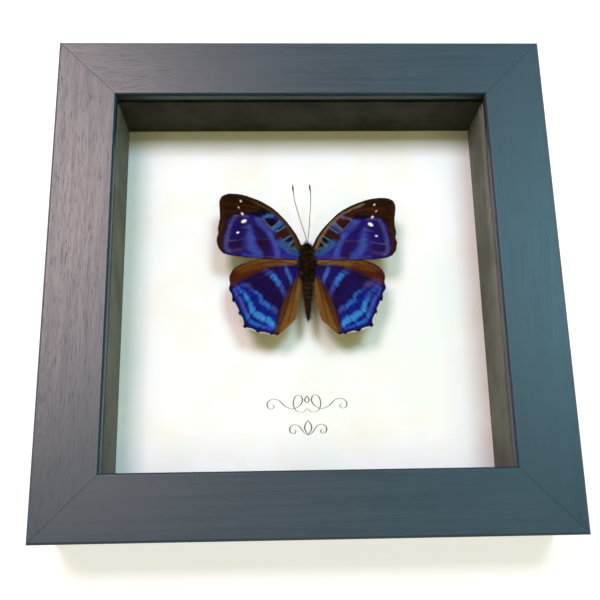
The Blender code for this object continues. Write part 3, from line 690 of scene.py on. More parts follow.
hindWing = {
    "outline": [
        (-0.6, 1.6), (0.9, 2.6), (3.2, 3.2), (7.6, 3.5), (12.2, 3.0), (16.0, 2.1), (18.5, 1.1),
        (20.6, -0.3), (21.8, -2.7), (21.6, -5.0), (21.9, -6.7), (21.0, -8.4), (20.8, -10.4),
        (19.5, -12.2), (18.9, -14.4), (17.7, -16.5), (17.4, -18.8), (15.3, -19.3), (13.3, -20.3),
        (11.1, -20.5), (9.0, -21.1), (7.3, -21.2), (5.2, -19.5), (2.6, -17.1), (1.5, -15.0),
        (0.8, -11.7), (0.3, -7.0), (0.4, -3.0),
    ],
    "hinge": (2.2, 5.2), "lean": 0.0, "height left": 1.0, "height right": 1.0,
    "middle": (10.5, -8.5), "level": 16.75, "root": (-3.0, 4.0),
    "veins": [
        [(1, 1), (7, 2.2), (13, 1.3), (18.5, -0.4), (21.9, -3.2)],
        [(1.2, 0.4), (6, 0.4), (10, -0.9), (15.6, -3.4), (21.8, -6.6)],
        [(8.5, -1.5), (13, -4.6), (17.4, -7.7), (20.8, -10.4)],
        [(8.3, -2.8), (12, -7), (15.7, -10.8), (18.9, -14.4)],
        [(7.4, -4.3), (11, -9.6), (14.7, -14.7), (17.4, -18.8)],
        [(5.6, -4.6), (8.4, -10.8), (10.9, -16.6), (13.3, -20.2)],
        [(3.6, -3.8), (5.9, -11), (7.8, -17.8), (9, -21)],
        [(1.4, -1), (3.4, -9), (5.4, -15.5), (7.2, -21)],
        [(0.8, -3), (2.2, -10), (3.8, -17)],
    ],
    "dark veins": (0.3, 0.4, 0.75),
    "strokes": [
        ("inkViolet", (50, 50), 1, 1.0, [(4, -8), (22, -8)]),
        ("nightPlum", (5.0, 3.4), 3.0, 0.9, [(13.8, -3.6), (11.0, -5.4), (7.4, -10.6), (7.0, -12.6)]),
        ("violet", (3.0, 2.0), 1.8, 0.6, [(5.6, -0.8), (5.2, -4.6)]),
        ("royal", (4.0, 5.2), 2.2, 0.95, [
            (19.6, -5.6), (16.6, -8.2), (14.0, -11.6), (11.2, -14.6), (9.0, -17.6)]),
        ("royal", (4.0, 3.0), 1.4, 0.9, [
            (20.4, -6.6), (18.2, -12.0), (15.6, -16.8), (11.4, -18.9), (8.6, -19.2)]),
        ("violet", (3.4, 2.4), 1.4, 0.8, [(0.9, 0.0), (2.4, -3.2)]),
        ("ink", (1.2, 0.8), 0.7, 0.7, [(1.4, 0.4), (3.6, 0.4)]),
        ("bandBlue", (0.9, 1.2), 0.8, 0.9, [
            (4.5, 0.7), (4.0, -0.9), (3.4, -2.4), (2.9, -3.8), (2.6, -5.1)]),
        ("sky", (0.9, 0.7), 0.7, 0.7, [(4.3, -0.6), (3.6, -2.6), (3.1, -3.6)]),
        ("bandBlue", (1.9, 1.4), 1.2, 0.85, [(10.6, -0.9), (9.1, -1.9), (7.9, -3.3)]),
        ("sky", (1.5, 1.3), 0.9, 1.0, [(8.4, -2.6), (7.4, -3.9), (6.5, -5.3)]),
        ("bandBlue", (1.5, 1.1), 0.9, 0.9, [(6.8, -5.0), (5.9, -6.4), (5.1, -7.9), (4.7, -9.2)]),
        ("sky", (0.9, 1.0), 0.8, 0.8, [(13.9, -7.9), (13.3, -8.1), (12.4, -9.1), (12.1, -10.9)]),
        ("sky", (1.4, 1.2), 0.9, 0.85, [(11.6, -11.0), (10.5, -11.7), (9.6, -12.6)]),
        ("bandBlue", (1.7, 1.2), 1.0, 0.85, [(8.6, -13.0), (7.6, -14.0)]),
        ("steel", (1.5, 0.8), 1.0, 0.5, [(17.9, -5.0), (16.2, -5.7), (15.0, -7.0)]),
        ("steel", (1.3, 0.9), 0.7, 0.8, [(19.9, -5.6), (18.9, -6.6)]),
        ("sky", (1.2, 1.6), 0.8, 0.9, [(18.3, -7.6), (17.2, -8.2), (16.6, -9.4), (16.3, -10.2)]),
        ("glow", (1.2, 1.7), 0.8, 0.9, [(15.7, -11.0), (15.2, -12.4), (14.8, -13.8)]),
        ("glow", (1.7, 1.8), 0.9, 0.95, [(13.9, -14.7), (12.8, -15.3), (11.5, -16.3)]),
        ("glow", (2.0, 1.6), 0.9, 0.95, [(10.2, -16.6), (9.3, -17.4), (8.4, -18.5)]),
        ("steel", (0.9, 0.9), 0.6, 0.7, [(20.4, -6.8), (19.6, -9.0)]),
        ("steel", (1.0, 1.1), 0.6, 0.8, [(18.9, -9.4), (18.1, -11.0), (17.6, -12.8)]),
        ("bandBlue", (1.2, 1.2), 0.6, 0.85, [(17.6, -12.4), (17.0, -14.0), (16.4, -15.6)]),
        ("sky", (1.1, 1.0), 0.6, 0.85, [(16.2, -15.2), (15.8, -16.6), (14.9, -17.4), (13.3, -18.1)]),
        ("sky", (1.0, 0.9), 0.6, 0.75, [(12.9, -18.2), (11.6, -18.8)]),
        ("bandBlue", (0.9, 0.7), 0.6, 0.8, [(10.6, -18.9), (9.2, -19.7)]),
        ("plum", (1.2, 0.8), 1.0, 0.7, [(10.8, -0.9), (14.6, -3.0), (17.4, -4.2), (20.8, -5.8)]),
        ("coverRust", (6.0, 4.4), 1.2, 1.0, [(10.4, 3.0), (14.6, 1.0), (18.4, -1.2), (22.0, -3.6)]),
        ("coverGold", (4.0, 4.4), 1.2, 1.0, [(-1.6, 3.2), (5.0, 3.1), (10.6, 3.0)]),
        ("coverGold", (3.6, 1.2), 2.0, 0.8, [(10.6, 2.6), (15.0, 1.0), (19.2, -0.6)]),
        ("foldRust", (3.4, 3.6), 1.2, 1.0, [
            (0.0, -4.6), (2.4, -8.6), (4.2, -12.6), (5.4, -16.4), (6.2, -21.4)]),
        ("foldGold", (3.0, 4.4), 1.2, 1.0, [
            (-0.8, -4.6), (0.4, -8.6), (1.8, -12.6), (3.2, -16.4), (4.8, -20)]),
        ("plum", (0.9, 0.9), 0.9, 0.7, [(2.4, -5.4), (4.6, -9.8), (6.4, -14.2), (7.4, -19)]),
        ("margin", (0.9, 0.9), 0.5, 0.9, [
            (21.8, -5.4), (21.7, -6.7), (20.8, -8.4), (20.6, -10.4), (19.3, -12.2), (18.7, -14.4),
            (17.5, -16.5), (17.1, -18.6)]),
        ("margin", (0.9, 0.9), 0.5, 0.9, [
            (17.1, -18.6), (15.3, -19.1), (13.3, -20.0), (11.1, -20.3), (9.0, -20.8), (7.3, -21.0)]),
        ("fringe", (0.5, 0.5), 0.3, 0.7, [(21.7, -7.9), (21.3, -9.4)]),
        ("fringe", (0.6, 0.6), 0.3, 1.0, [(20.5, -11.2), (19.8, -12.5), (19.4, -13.7)]),
        ("fringe", (0.6, 0.6), 0.3, 1.0, [(18.7, -15.3), (18.0, -16.6), (17.8, -17.9)]),
        ("fringe", (0.7, 0.7), 0.3, 1.0, [(16.6, -19.4), (15.3, -19.65), (14.2, -20.2)]),
        ("fringe", (0.6, 0.6), 0.3, 1.0, [(12.6, -20.8), (11.1, -20.85), (9.8, -21.3)]),
        ("fringe", (0.5, 0.5), 0.3, 0.9, [(8.6, -21.5), (7.9, -21.6)]),
    ],
    "left touches": [
        ("glow", (0.8, 1.0), 0.6, 0.6, [(17.2, -8.4), (16.6, -9.6)]),
        ("coverRust", (2.4, 1.6), 1.4, 0.6, [(6.6, 2.2), (12.4, 1.4)]),
    ],
    "right touches": [
        ("mauve", (2.6, 2.0), 1.4, 0.5, [(19.4, -4.8), (16.2, -5.6)]),
        ("violet", (2.6, 2.2), 1.4, 0.65, [(17.8, -7.8), (16.2, -9.0)]),
        # painted highlight along the right hindwing's leading edge
        ("costaPaintedSheen", (1.6, 1.0), 1.0, 0.5, [(4.0, 2.9), (10.6, 2.9)]),
        ("violet", (4.0, 3.0), 2.4, 0.4, [(12.0, -5.0), (8.6, -10.0)]),
    ],
    "spots": [],
}


def ramp(low, high, value):      # a soft step from 0 to 1
    share = np.clip((value - low) / (high - low), 0, 1)
    return share * share * (3 - 2 * share)


def evenRim(outline, count):      # the outline as a smooth loop of evenly spaced points
    loop = smoothPath([*outline, outline[0]], 12)
    steps = np.linalg.norm(np.diff(loop, axis=0), axis=1)
    lengths = np.concatenate([[0], np.cumsum(steps)])
    wanted = np.arange(count) * lengths[-1] / count
    return np.c_[np.interp(wanted, lengths, loop[:, 0]), np.interp(wanted, lengths, loop[:, 1])]


def pathGap(spots, points):      # how far each spot is from a path, and how far along it that is
    path = smoothPath(points)
    steps = np.linalg.norm(np.diff(path, axis=0), axis=1)
    starts = np.concatenate([[0], np.cumsum(steps)]) / steps.sum()
    gap, share = np.full(len(spots), 1e9), np.zeros(len(spots))
    for index in range(len(steps)):
        line = path[index + 1] - path[index]
        along = np.clip((spots - path[index]) @ line / (line @ line), 0, 1)
        away = np.linalg.norm(spots - path[index] - along[:, None] * line, axis=1)
        share = np.where(away < gap, starts[index] + along * (starts[index + 1] - starts[index]), share)
        gap = np.minimum(gap, away)
    return gap, share


def patchNoise(x, y, seed):      # smooth random patches, the same at each run
    cellX, cellY = np.floor(x), np.floor(y)
    shareX, shareY = ramp(0, 1, x - cellX), ramp(0, 1, y - cellY)
    corners = []
    for stepX, stepY in ((0, 0), (1, 0), (0, 1), (1, 1)):
        value = np.sin((cellX + stepX) * 127.1 + (cellY + stepY) * 311.7 + seed * 74.7) * 43758.5453
        corners.append(value - np.floor(value))
    low = corners[0] * (1 - shareX) + corners[1] * shareX
    high = corners[2] * (1 - shareX) + corners[3] * shareX
    return low * (1 - shareY) + high * shareY


def toneOf(name):
    return np.array(linear(*wingTones[name])[:3])


def fromRoot(wing, spots):      # how far each spot is from the wing's root, and which way it lies
    away = spots - np.array(wing["root"])
    return np.hypot(away[:, 0], away[:, 1]), np.arctan2(away[:, 1], away[:, 0])


def paintWing(wing, spots, side, seed):      # linear colours for spots on the upper face
    reach, turn = fromRoot(wing, spots)
    streak = 0.6 * patchNoise(turn * 46, reach * 0.5, seed)
    streak = streak + 0.4 * patchNoise(turn * 110, reach * 0.9, seed + 3)
    grain = patchNoise(spots[:, 0] * 3.1, spots[:, 1] * 3.1, seed + 7)
    blotch = patchNoise(spots[:, 0] * 0.9, spots[:, 1] * 0.9, seed + 11)
    colour = np.zeros((len(spots), 3))
    touches = wing["left touches"] if side < 0 else wing["right touches"]
    for tone, wide, soft, power, points in wing["strokes"] + touches:
        gap, share = pathGap(spots, points)
        half = (wide[0] + (wide[1] - wide[0]) * share) / 2
        edge = gap + (streak - 0.5) * soft * 0.8 + (grain - 0.5) * soft * 0.4
        cover = power * (1 - ramp(half - soft * 0.6, half + soft * 0.6, edge))
        if power < 1:
            cover = cover * (1 - 0.3 * grain) * (1 - 0.2 * blotch)
        colour += (toneOf(tone) - colour) * cover[:, None]
    wide, soft, power = wing["dark veins"]
    for points in wing["veins"]:
        gap, share = pathGap(spots, points)
        cover = power * (1 - ramp((wide - soft) / 2, (wide + soft) / 2, gap))
        colour += (toneOf("ink") - colour) * cover[:, None]
    for middle, longSize, shortSize, lean, tone in wing["spots"]:
        lean = math.radians(lean)
        away = spots - np.array(middle)
        lengthwise = (away[:, 0] * math.cos(lean) + away[:, 1] * math.sin(lean)) / (longSize / 2)
        crosswise = (away[:, 1] * math.cos(lean) - away[:, 0] * math.sin(lean)) / (shortSize / 2)
        cover = 1 - ramp(0.75, 1.3, np.hypot(lengthwise, crosswise))
        colour += (toneOf(tone) - colour) * cover[:, None]
    return colour * (0.84 + 0.32 * streak)[:, None]


def wingRelief(wing, spots, seed):      # raised veins, pleats between them, slow waves
    nearest = np.full(len(spots), 1e9)
    for points in wing["veins"]:
        nearest = np.minimum(nearest, pathGap(spots, points)[0])
    rise = wingSet["vein rise"] * (1 - ramp(0, wingSet["vein width"], nearest))
    pleat = wingSet["pleat"] * (1 - ramp(0.2, 1.6, nearest))
    wave = wingSet["wave"] * (2 * patchNoise(spots[:, 0] * 0.22, spots[:, 1] * 0.3, seed) - 1)
    crinkle = wingSet["crinkle"] * (2 * patchNoise(spots[:, 0] * 1.3, spots[:, 1] * 1.3, seed + 5) - 1)
    return rise + pleat + wave + crinkle


def makeWing(name, wing, side, seed, material, node):
    count, rings = wingSet["rim points"], wingSet["rings"]
    rim = evenRim(wing["outline"], count)
    clearSelection()
    bpy.ops.mesh.primitive_circle_add(vertices=count, radius=10 * mm, fill_type="NOTHING")
    piece = bpy.context.object
    setPoints(piece, np.c_[rim * mm, np.zeros(count)])
    centre = (wing["middle"][0] * mm, wing["middle"][1] * mm, 0)
    startEdit(piece)
    bpy.ops.mesh.extrude_edges_move()      # the first ring outwards is the fringe
    endEdit()
    points = meshPoints(piece)
    tangent = np.roll(rim, -1, axis=0) - np.roll(rim, 1, axis=0)
    outward = np.c_[tangent[:, 1], -tangent[:, 0]] / np.linalg.norm(tangent, axis=1)[:, None]
    outward *= np.sign(((rim - np.array(wing["middle"])) * outward).sum(axis=1).mean())
    tooth = 0.45 + 0.55 * patchNoise(np.arange(count) * 0.7, np.zeros(count) + seed, seed)
    tooth *= np.where(np.arange(count) % 2, 0.55, 1.0)
    points[count:, :2] += outward * (tooth * wingSet["fringe"])[:, None] * mm
    setPoints(piece, points)
    startEdit(piece)
    bpy.ops.mesh.select_all(action="DESELECT")
    endEdit()
    for edge in piece.data.edges:
        edge.select = max(edge.vertices) < count
    for vertex in piece.data.vertices:
        vertex.select = vertex.index < count
    bpy.ops.object.mode_set(mode="EDIT")
    for ring in range(rings - 1):
        shrink = (rings - ring - 1) / (rings - ring)
        bpy.ops.mesh.extrude_edges_move()
        bpy.ops.transform.resize(value=(shrink, shrink, 1), center_override=centre)
    bpy.ops.mesh.edge_face_add()
    bpy.ops.mesh.poke()
    bpy.ops.mesh.select_all(action="SELECT")
    bpy.ops.mesh.normals_make_consistent(inside=False)
    endEdit()
    if sum(face.normal.z * face.area for face in piece.data.polygons) < 0:
        startEdit(piece)
        bpy.ops.mesh.flip_normals()
        endEdit()
    spots = meshPoints(piece)[:, :2] / mm
    lift = wingRelief(wing, spots, seed)
    colour = paintWing(wing, spots, side, seed)
    shellSize = len(spots)
    tall = wing["height left"] if side < 0 else wing["height right"]
    setPoints(piece, np.c_[spots * [1, tall], lift] * mm)
    reach, turn = fromRoot(wing, spots)
    applyModifier(piece, "SOLIDIFY", thickness=wingSet["thick"] * mm, offset=-1)
    total = len(piece.data.vertices)
    mottle = 0.7 + 0.5 * patchNoise(turn * 60, reach * 0.6, seed)
    back = np.tile(toneOf("under"), (shellSize, 1)) * mottle[:, None]
    both = np.ones((total, 4), np.float32)
    both[:shellSize, :3] = colour
    both[shellSize:2 * shellSize, :3] = back
    paint = piece.data.attributes.new("wing paint", "FLOAT_COLOR", "POINT")
    paint.data.foreach_set("color", both.ravel())
    layer = piece.data.uv_layers.new(name="wing map")
    corners = np.empty(len(piece.data.loops), np.int32)
    piece.data.loops.foreach_get("vertex_index", corners)
    layout = np.c_[reach, turn * 12]
    layer.data.foreach_set("uv", np.tile(layout, (2, 1))[corners].astype(np.float32).ravel())
    if side < 0:
        piece.data.transform(Matrix.Scale(-1, 4, (1, 0, 0)))
        piece.data.flip_normals()
    piece.data.transform(Matrix.Rotation(math.radians(wing["lean"]), 4, "Z"))
    across = specimenSet["body middle"] + side * wing["hinge"][0]
    place = (across * mm, wing["hinge"][1] * mm, wing["level"] * mm + wingSet["thick"] / 2 * mm)
    piece.data.transform(Matrix.Translation(place))
    smoothByAngle(piece, 60)
    finishPiece(piece, name, material, [node])


def wingFinish(name, roughness):
    material, tree, shader = newMaterial(name)
    painted = put(tree, "Attribute", attribute_name="wing paint").outputs["Color"]
    mapped = put(tree, "UVMap", uv_map="wing map").outputs["UV"]
    rows = putGroup(tree, scaleRows, {"Vector": mapped, "Row Pitch": wingSet["row pitch"]})
    rowShade = remap(tree, rows.outputs["Rows"], 0, 1, 0.8, 1.12)
    fleckShade = remap(tree, rows.outputs["Flecks"], 0, 1, 0.82, 1.18)
    tone = shaded(tree, painted, maths(tree, "MULTIPLY", rowShade, fleckShade))
    rough = remap(tree, rows.outputs["Flecks"], 0, 1, roughness - 0.08, roughness + 0.1)
    surface(tree, shader, tone, rough, rows.outputs["Height"], wingSet["scale rise"], 0.7)
    shader.inputs["Specular IOR Level"].default_value = 0.01
    return material


def makeWings():
    foreScales = wingFinish("forewing scales", wingSet["matt"])
    hindScales = wingFinish("hindwing scales", wingSet["matt"])
    for word, side, seed in (("left", -1, 3), ("right", 1, 8)):
        makeWing("front_wing_" + word, foreWing, side, seed, foreScales, "forewing_" + word)
        makeWing("rear_wing_" + word, hindWing, side, seed + 20, hindScales, "hindwing_" + word)


makeWings()
print("wings done")



# body, eyes, palps, hair and antennae

bodySet = {
    "profile": [      # place along the body and radius, head first
        (13.2, 0.35), (13.0, 0.85), (12.5, 1.3), (11.9, 1.45), (11.3, 1.35), (10.9, 1.25), (10.4, 1.5),
        (9.6, 2.0), (8.4, 2.35), (6.9, 2.45), (5.2, 2.35), (3.6, 2.05), (2.3, 1.65), (1.4, 1.35),
        (0.4, 1.42), (-0.8, 1.46), (-2.4, 1.38), (-4.2, 1.18), (-6.1, 0.96), (-8.0, 0.78), (-9.6, 0.62),
        (-10.9, 0.44), (-11.6, 0.2),
    ],
    "level": 16.4, "flat": 0.92, "around": 44, "ring length": 1.42, "ring swell": 0.1, "waist": 1.3,
    "dark": (14, 9, 6), "brown": (44, 26, 14), "pale": (112, 88, 60), "eye": (34, 14, 9), "eye rim": (14, 8, 8),
    "hair": (12, 7, 5), "hair light": (80, 40, 22), "hair fleck": (150, 128, 108),
}
hairSet = {
    "cover": 58.0, "long": 1.5, "thick": 0.034, "lie": (0.0, -0.9, 0.1), "lift": 1.0, "spread": 0.6,
    "bend": 0.35, "sizes": (0.45, 1.1),
}
antennaSet = {
    "left": [(0.1, 12.6), (0.05, 13.8), (-0.55, 16.6), (-1.45, 19.5), (-2.25, 22.5), (-3.0, 25.3),
             (-3.6, 28.0), (-3.9, 30.6), (-4.05, 32.0), (-4.1, 33.1)],
    "right": [(0.35, 12.6), (0.35, 13.8), (0.7, 16.6), (1.0, 19.5), (1.2, 22.5), (1.45, 25.3),
              (1.6, 28.0), (1.55, 30.6), (1.4, 32.0), (1.3, 33.2)],
    "level": 17.0, "thin": 0.115, "club": 0.27, "club start": 0.84, "ring": 0.34, "around": 10,
    "band": (112, 98, 84), "stem": (58, 46, 38), "club tone": (48, 38, 32), "tip": (120, 78, 48),
}


def turnedForm(profile, around):      # a line of points, drawn out point by point and spun about Y
    clearSelection()
    bpy.ops.mesh.primitive_plane_add(size=mm)
    piece = bpy.context.object
    startEdit(piece)
    bpy.ops.mesh.merge(type="CENTER")
    bpy.ops.transform.translate(value=(profile[0][1] * mm, profile[0][0] * mm, 0))
    for (fromY, fromRadius), (toY, toRadius) in zip(profile, profile[1:]):
        move = ((toRadius - fromRadius) * mm, (toY - fromY) * mm, 0)
        bpy.ops.mesh.extrude_region_move(TRANSFORM_OT_translate={"value": move})
    bpy.ops.mesh.select_all(action="SELECT")
    bpy.ops.mesh.spin(steps=around, angle=2 * math.pi, center=(0, 0, 0), axis=(0, 1, 0))
    bpy.ops.mesh.select_all(action="SELECT")
    bpy.ops.mesh.remove_doubles(threshold=0.004 * mm)
    bpy.ops.mesh.fill_holes(sides=0)
    bpy.ops.mesh.normals_make_consistent(inside=False)
    endEdit()
    return piece


def bodyProfile():      # the rings of the abdomen swell a little between their joins
    line = smoothPath(bodySet["profile"], 10)
    waist = bodySet["waist"]
    along = (waist - line[:, 0]) / bodySet["ring length"]
    swell = np.abs(np.sin(np.pi * along)) ** 0.6 * bodySet["ring swell"] - bodySet["ring swell"] * 0.6
    radius = line[:, 1] * np.where(line[:, 0] < waist, 1 + swell, 1)
    return [(float(y), float(r)) for y, r in zip(line[:, 0], radius)] + [(-11.75, 0.0)]


def hairFinish(name, dark, light, fleck, roughness):
    material, tree, shader = newMaterial(name)
    place = objectPlace(tree)
    mixed = noise(tree, place, 700, 4)
    tone = blend(tree, remap(tree, mixed, 0.5, 0.64), linear(*dark), linear(*light))
    flecks = remap(tree, noise(tree, place, 1500, 2), 0.64, 0.7)
    tone = blend(tree, flecks, tone, linear(*fleck))
    rough = remap(tree, mixed, 0.3, 0.7, roughness, roughness + 0.2)
    surface(tree, shader, tone, rough, noise(tree, place, 9000, 2), 0.01, 0.4)
    shader.inputs["Specular IOR Level"].default_value = 0.02
    return material


def bodyFinish():
    material, tree, shader = newMaterial("body shell")
    place = objectPlace(tree)
    along = put(tree, "SeparateXYZ", {0: place}).outputs["Y"]
    ringPhase = maths(tree, "DIVIDE", maths(tree, "SUBTRACT", bodySet["waist"] * mm, along),
                      bodySet["ring length"] * mm)
    join = maths(tree, "PINGPONG", ringPhase, 0.5)
    behind = remap(tree, along, 1.4 * mm, 1.2 * mm)
    mottled = noise(tree, place, 1800, 5)
    tone = blend(tree, remap(tree, mottled, 0.35, 0.65), linear(*bodySet["dark"]), linear(*bodySet["brown"]))
    paleEdge = maths(tree, "MULTIPLY", remap(tree, join, 0.09, 0.02), behind)
    tone = blend(tree, maths(tree, "MULTIPLY", paleEdge, 0.45), tone, linear(*bodySet["pale"]))
    surface(tree, shader, tone, remap(tree, mottled, 0.3, 0.7, 0.42, 0.62), mottled, 0.05, 0.7)
    shader.inputs["Specular IOR Level"].default_value = 0.03
    return material


def eyeFinish():
    material, tree, shader = newMaterial("compound eye")
    facets = put(tree, "TexVoronoi", {"Vector": objectPlace(tree), "Scale": 9000.0})
    shade = remap(tree, facets.outputs["Distance"], 0.0, 0.6, 1.0, 0.0)
    tone = blend(tree, shade, linear(*bodySet["eye rim"]), linear(*bodySet["eye"]))
    surface(tree, shader, tone, remap(tree, shade, 0, 1, 0.35, 0.2), shade, 0.02, 0.6)
    shader.inputs["Coat Weight"].default_value = 0.4
    return material


def linkNodes(tree, pairs):      # (node, output name, node, input name)
    for giver, output, taker, entry in pairs:
        tree.links.new(giver.outputs[output], taker.inputs[entry])


def hairTree(name, settings, seed):      # one bent hair, scattered over a skin and made real
    tree = bpy.data.node_groups.new(name, "GeometryNodeTree")
    for way in ("INPUT", "OUTPUT"):
        tree.interface.new_socket("Geometry", in_out=way, socket_type="NodeSocketGeometry")
    spread = settings["spread"]
    skin, result = put(tree, "NodeGroupInput"), put(tree, "NodeGroupOutput")
    cover = put(tree, "GeometryNodeInputNamedAttribute", {"Name": "hair cover"}, data_type="FLOAT")
    thick = put(tree, "Math", {1: settings["cover"] / mm ** 2}, operation="MULTIPLY")
    scatter = put(tree, "GeometryNodeDistributePointsOnFaces", {"Seed": seed})
    lift = put(tree, "VectorMath", {"Scale": settings["lift"]}, operation="SCALE")
    limits = {"Min": (-spread,) * 3, "Max": (spread,) * 3, "Seed": seed + 1}
    stray = put(tree, "FunctionNodeRandomValue", limits, data_type="FLOAT_VECTOR")
    combed, strayed = put(tree, "VectorMath", {1: settings["lie"]}), put(tree, "VectorMath")
    aim = put(tree, "FunctionNodeAlignRotationToVector", axis="Z")
    hair = put(tree, "GeometryNodeMeshCone", {
        "Vertices": 3, "Side Segments": 3, "Radius Top": 0.0, "Radius Bottom": settings["thick"] * mm,
        "Depth": settings["long"] * mm}, fill_type="NONE")
    bent, place = put(tree, "GeometryNodeSetPosition"), put(tree, "GeometryNodeInputPosition")
    split, offset = put(tree, "SeparateXYZ"), put(tree, "CombineXYZ")
    square = put(tree, "Math", operation="MULTIPLY")
    strength = put(tree, "Math", {1: settings["bend"] / (settings["long"] * mm)}, operation="MULTIPLY")
    shortest, longest = settings["sizes"]
    size = put(tree, "FunctionNodeRandomValue", {2: shortest, 3: longest}, data_type="FLOAT")
    copies, real = put(tree, "GeometryNodeInstanceOnPoints"), put(tree, "GeometryNodeRealizeInstances")
    linkNodes(tree, [
        (skin, "Geometry", scatter, "Mesh"), (cover, "Attribute", thick, 0), (thick, 0, scatter, "Density"),
        (scatter, "Normal", lift, 0), (lift, 0, combed, 0), (combed, 0, strayed, 0), (stray, 0, strayed, 1),
        (strayed, 0, aim, "Vector"), (hair, "Mesh", bent, "Geometry"), (place, 0, split, 0),
        (split, "Z", square, 0), (split, "Z", square, 1), (square, 0, strength, 0), (strength, 0, offset, "X"),
        (offset, 0, bent, "Offset"), (scatter, "Points", copies, "Points"),
        (bent, "Geometry", copies, "Instance"),
        (aim, "Rotation", copies, "Rotation"), (size, 1, copies, "Scale"), (copies, 0, real, 0),
        (real, 0, result, "Geometry"),
    ])
    return tree


def growHair(name, skin, cover, settings, seed, material):
    coat = skin.copy()
    coat.data = skin.data.copy()
    bpy.context.scene.collection.objects.link(coat)
    coat.parent = None
    for key in list(coat.keys()):
        if key.startswith("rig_"):
            del coat[key]
    layer = coat.data.attributes.new("hair cover", "FLOAT", "POINT")
    layer.data.foreach_set("value", np.asarray(cover, np.float32))
    modifier = coat.modifiers.new("Hair", "NODES")
    modifier.node_group = hairTree(name, settings, seed)
    pickUp(coat)
    bpy.ops.object.modifier_apply(modifier=modifier.name)
    finishPiece(coat, name, material)


def makeBody():
    middle, level = specimenSet["body middle"], bodySet["level"]
    body = turnedForm(bodyProfile(), bodySet["around"])
    points = meshPoints(body) / mm
    points[:, 2] *= bodySet["flat"]
    lumps = patchNoise(points[:, 0] * 1.6 + points[:, 2] * 2.1, points[:, 1] * 1.5, 5) - 0.5
    onThorax = ramp(1.4, 3.0, points[:, 1]) * (1 - ramp(9.5, 10.6, points[:, 1]))
    points *= (1 + 0.07 * lumps * (0.4 + onThorax))[:, None] * np.array([1, 0, 1]) + np.array([0, 1, 0])
    groove = np.exp(-(points[:, 0] / 0.35) ** 2) * onThorax * (points[:, 2] > 0)
    points[:, 2] -= 0.16 * groove
    setPoints(body, (points + [middle, 0, level]) * mm)
    smoothByAngle(body, 60)
    cover = np.where(points[:, 1] > 1.2, 1.0, 0.25)
    finishPiece(body, "body", bodyFinish(), ["butterfly_body"])
    coat = hairFinish("body hair", *(bodySet[label] for label in ("hair", "hair light", "hair fleck")), 0.6)
    growHair("body_hair", body, cover, hairSet, 11, coat)
    eyes = eyeFinish()
    for word, side in (("left", -1), ("right", 1)):
        clearSelection()
        bpy.ops.mesh.primitive_uv_sphere_add(segments=28, ring_count=18, radius=0.85 * mm)
        eye = bpy.context.object
        eye.scale = (0.78, 1.0, 0.95)
        eye.rotation_euler = (0, 0, side * -0.25)
        eye.location = ((middle + side * 1.15) * mm, 12.1 * mm, (level + 0.1) * mm)
        fixPlace(eye)
        smoothByAngle(eye, 60)
        finishPiece(eye, "eye_" + word, eyes)
        palp = turnedForm([(1.0, 0.0), (0.8, 0.12), (0.3, 0.2), (-0.4, 0.26), (-1.2, 0.2), (-1.4, 0.0)], 14)
        palp.rotation_euler = (0.25, 0, side * -0.18)
        palp.location = ((middle + side * 0.32) * mm, 13.3 * mm, (level + 0.15) * mm)
        fixPlace(palp)
        smoothByAngle(palp, 60)
        finishPiece(palp, "palp_" + word, coat)


def antennaFinish():
    material, tree, shader = newMaterial("antenna skin")
    place = objectPlace(tree)
    along = put(tree, "SeparateXYZ", {0: place}).outputs["Y"]
    bands = maths(tree, "PINGPONG", maths(tree, "DIVIDE", along, antennaSet["ring"] * mm), 0.5)
    tone = blend(tree, remap(tree, bands, 0.1, 0.3), linear(*antennaSet["band"]), linear(*antennaSet["stem"]))
    tone = blend(tree, remap(tree, along, 28.0 * mm, 29.4 * mm), tone, linear(*antennaSet["club tone"]))
    tone = blend(tree, remap(tree, along, 32.4 * mm, 33.0 * mm), tone, linear(*antennaSet["tip"]))
    surface(tree, shader, tone, remap(tree, noise(tree, place, 4000), 0.3, 0.7, 0.45, 0.65), bands, 0.02, 0.5)
    return material


def makeAntenna(word, skin):
    route = smoothPath(antennaSet[word], 9)
    steps = np.linalg.norm(np.diff(route, axis=0), axis=1)
    along = np.concatenate([[0], np.cumsum(steps)]) / steps.sum()
    length = steps.sum()
    rings = int(length / (antennaSet["ring"] / 2))
    shares = np.linspace(0, 1, rings)
    line = np.c_[np.interp(shares, along, route[:, 0]), np.interp(shares, along, route[:, 1])]
    around = antennaSet["around"]
    club = ramp(antennaSet["club start"], 0.95, shares) * (1 - 0.75 * ramp(0.96, 1.0, shares))
    size = antennaSet["thin"] + (antennaSet["club"] - antennaSet["thin"]) * club
    size *= np.where(np.arange(rings) % 2, 1.08, 0.9)
    size[0] *= 1.8
    clearSelection()
    bpy.ops.mesh.primitive_circle_add(vertices=around, radius=mm, fill_type="NGON",
                                      rotation=(math.radians(90), 0, 0))
    piece = bpy.context.object
    fixPlace(piece)
    startEdit(piece, "FACE")
    for ring in range(rings - 1):
        bpy.ops.mesh.extrude_region_move(TRANSFORM_OT_translate={"value": (0, mm, 0)})
    bpy.ops.mesh.select_all(action="SELECT")
    bpy.ops.mesh.normals_make_consistent(inside=False)
    endEdit()
    points = meshPoints(piece) / mm
    index = np.clip(np.round(points[:, 1]).astype(int), 0, rings - 1)
    placed = np.c_[line[index, 0] + points[:, 0] * size[index], line[index, 1],
                   antennaSet["level"] + points[:, 2] * size[index]]
    placed[:, 0] += specimenSet["body middle"]
    setPoints(piece, placed * mm)
    smoothByAngle(piece, 50)
    finishPiece(piece, "feeler_" + word, skin, ["antenna_" + word])


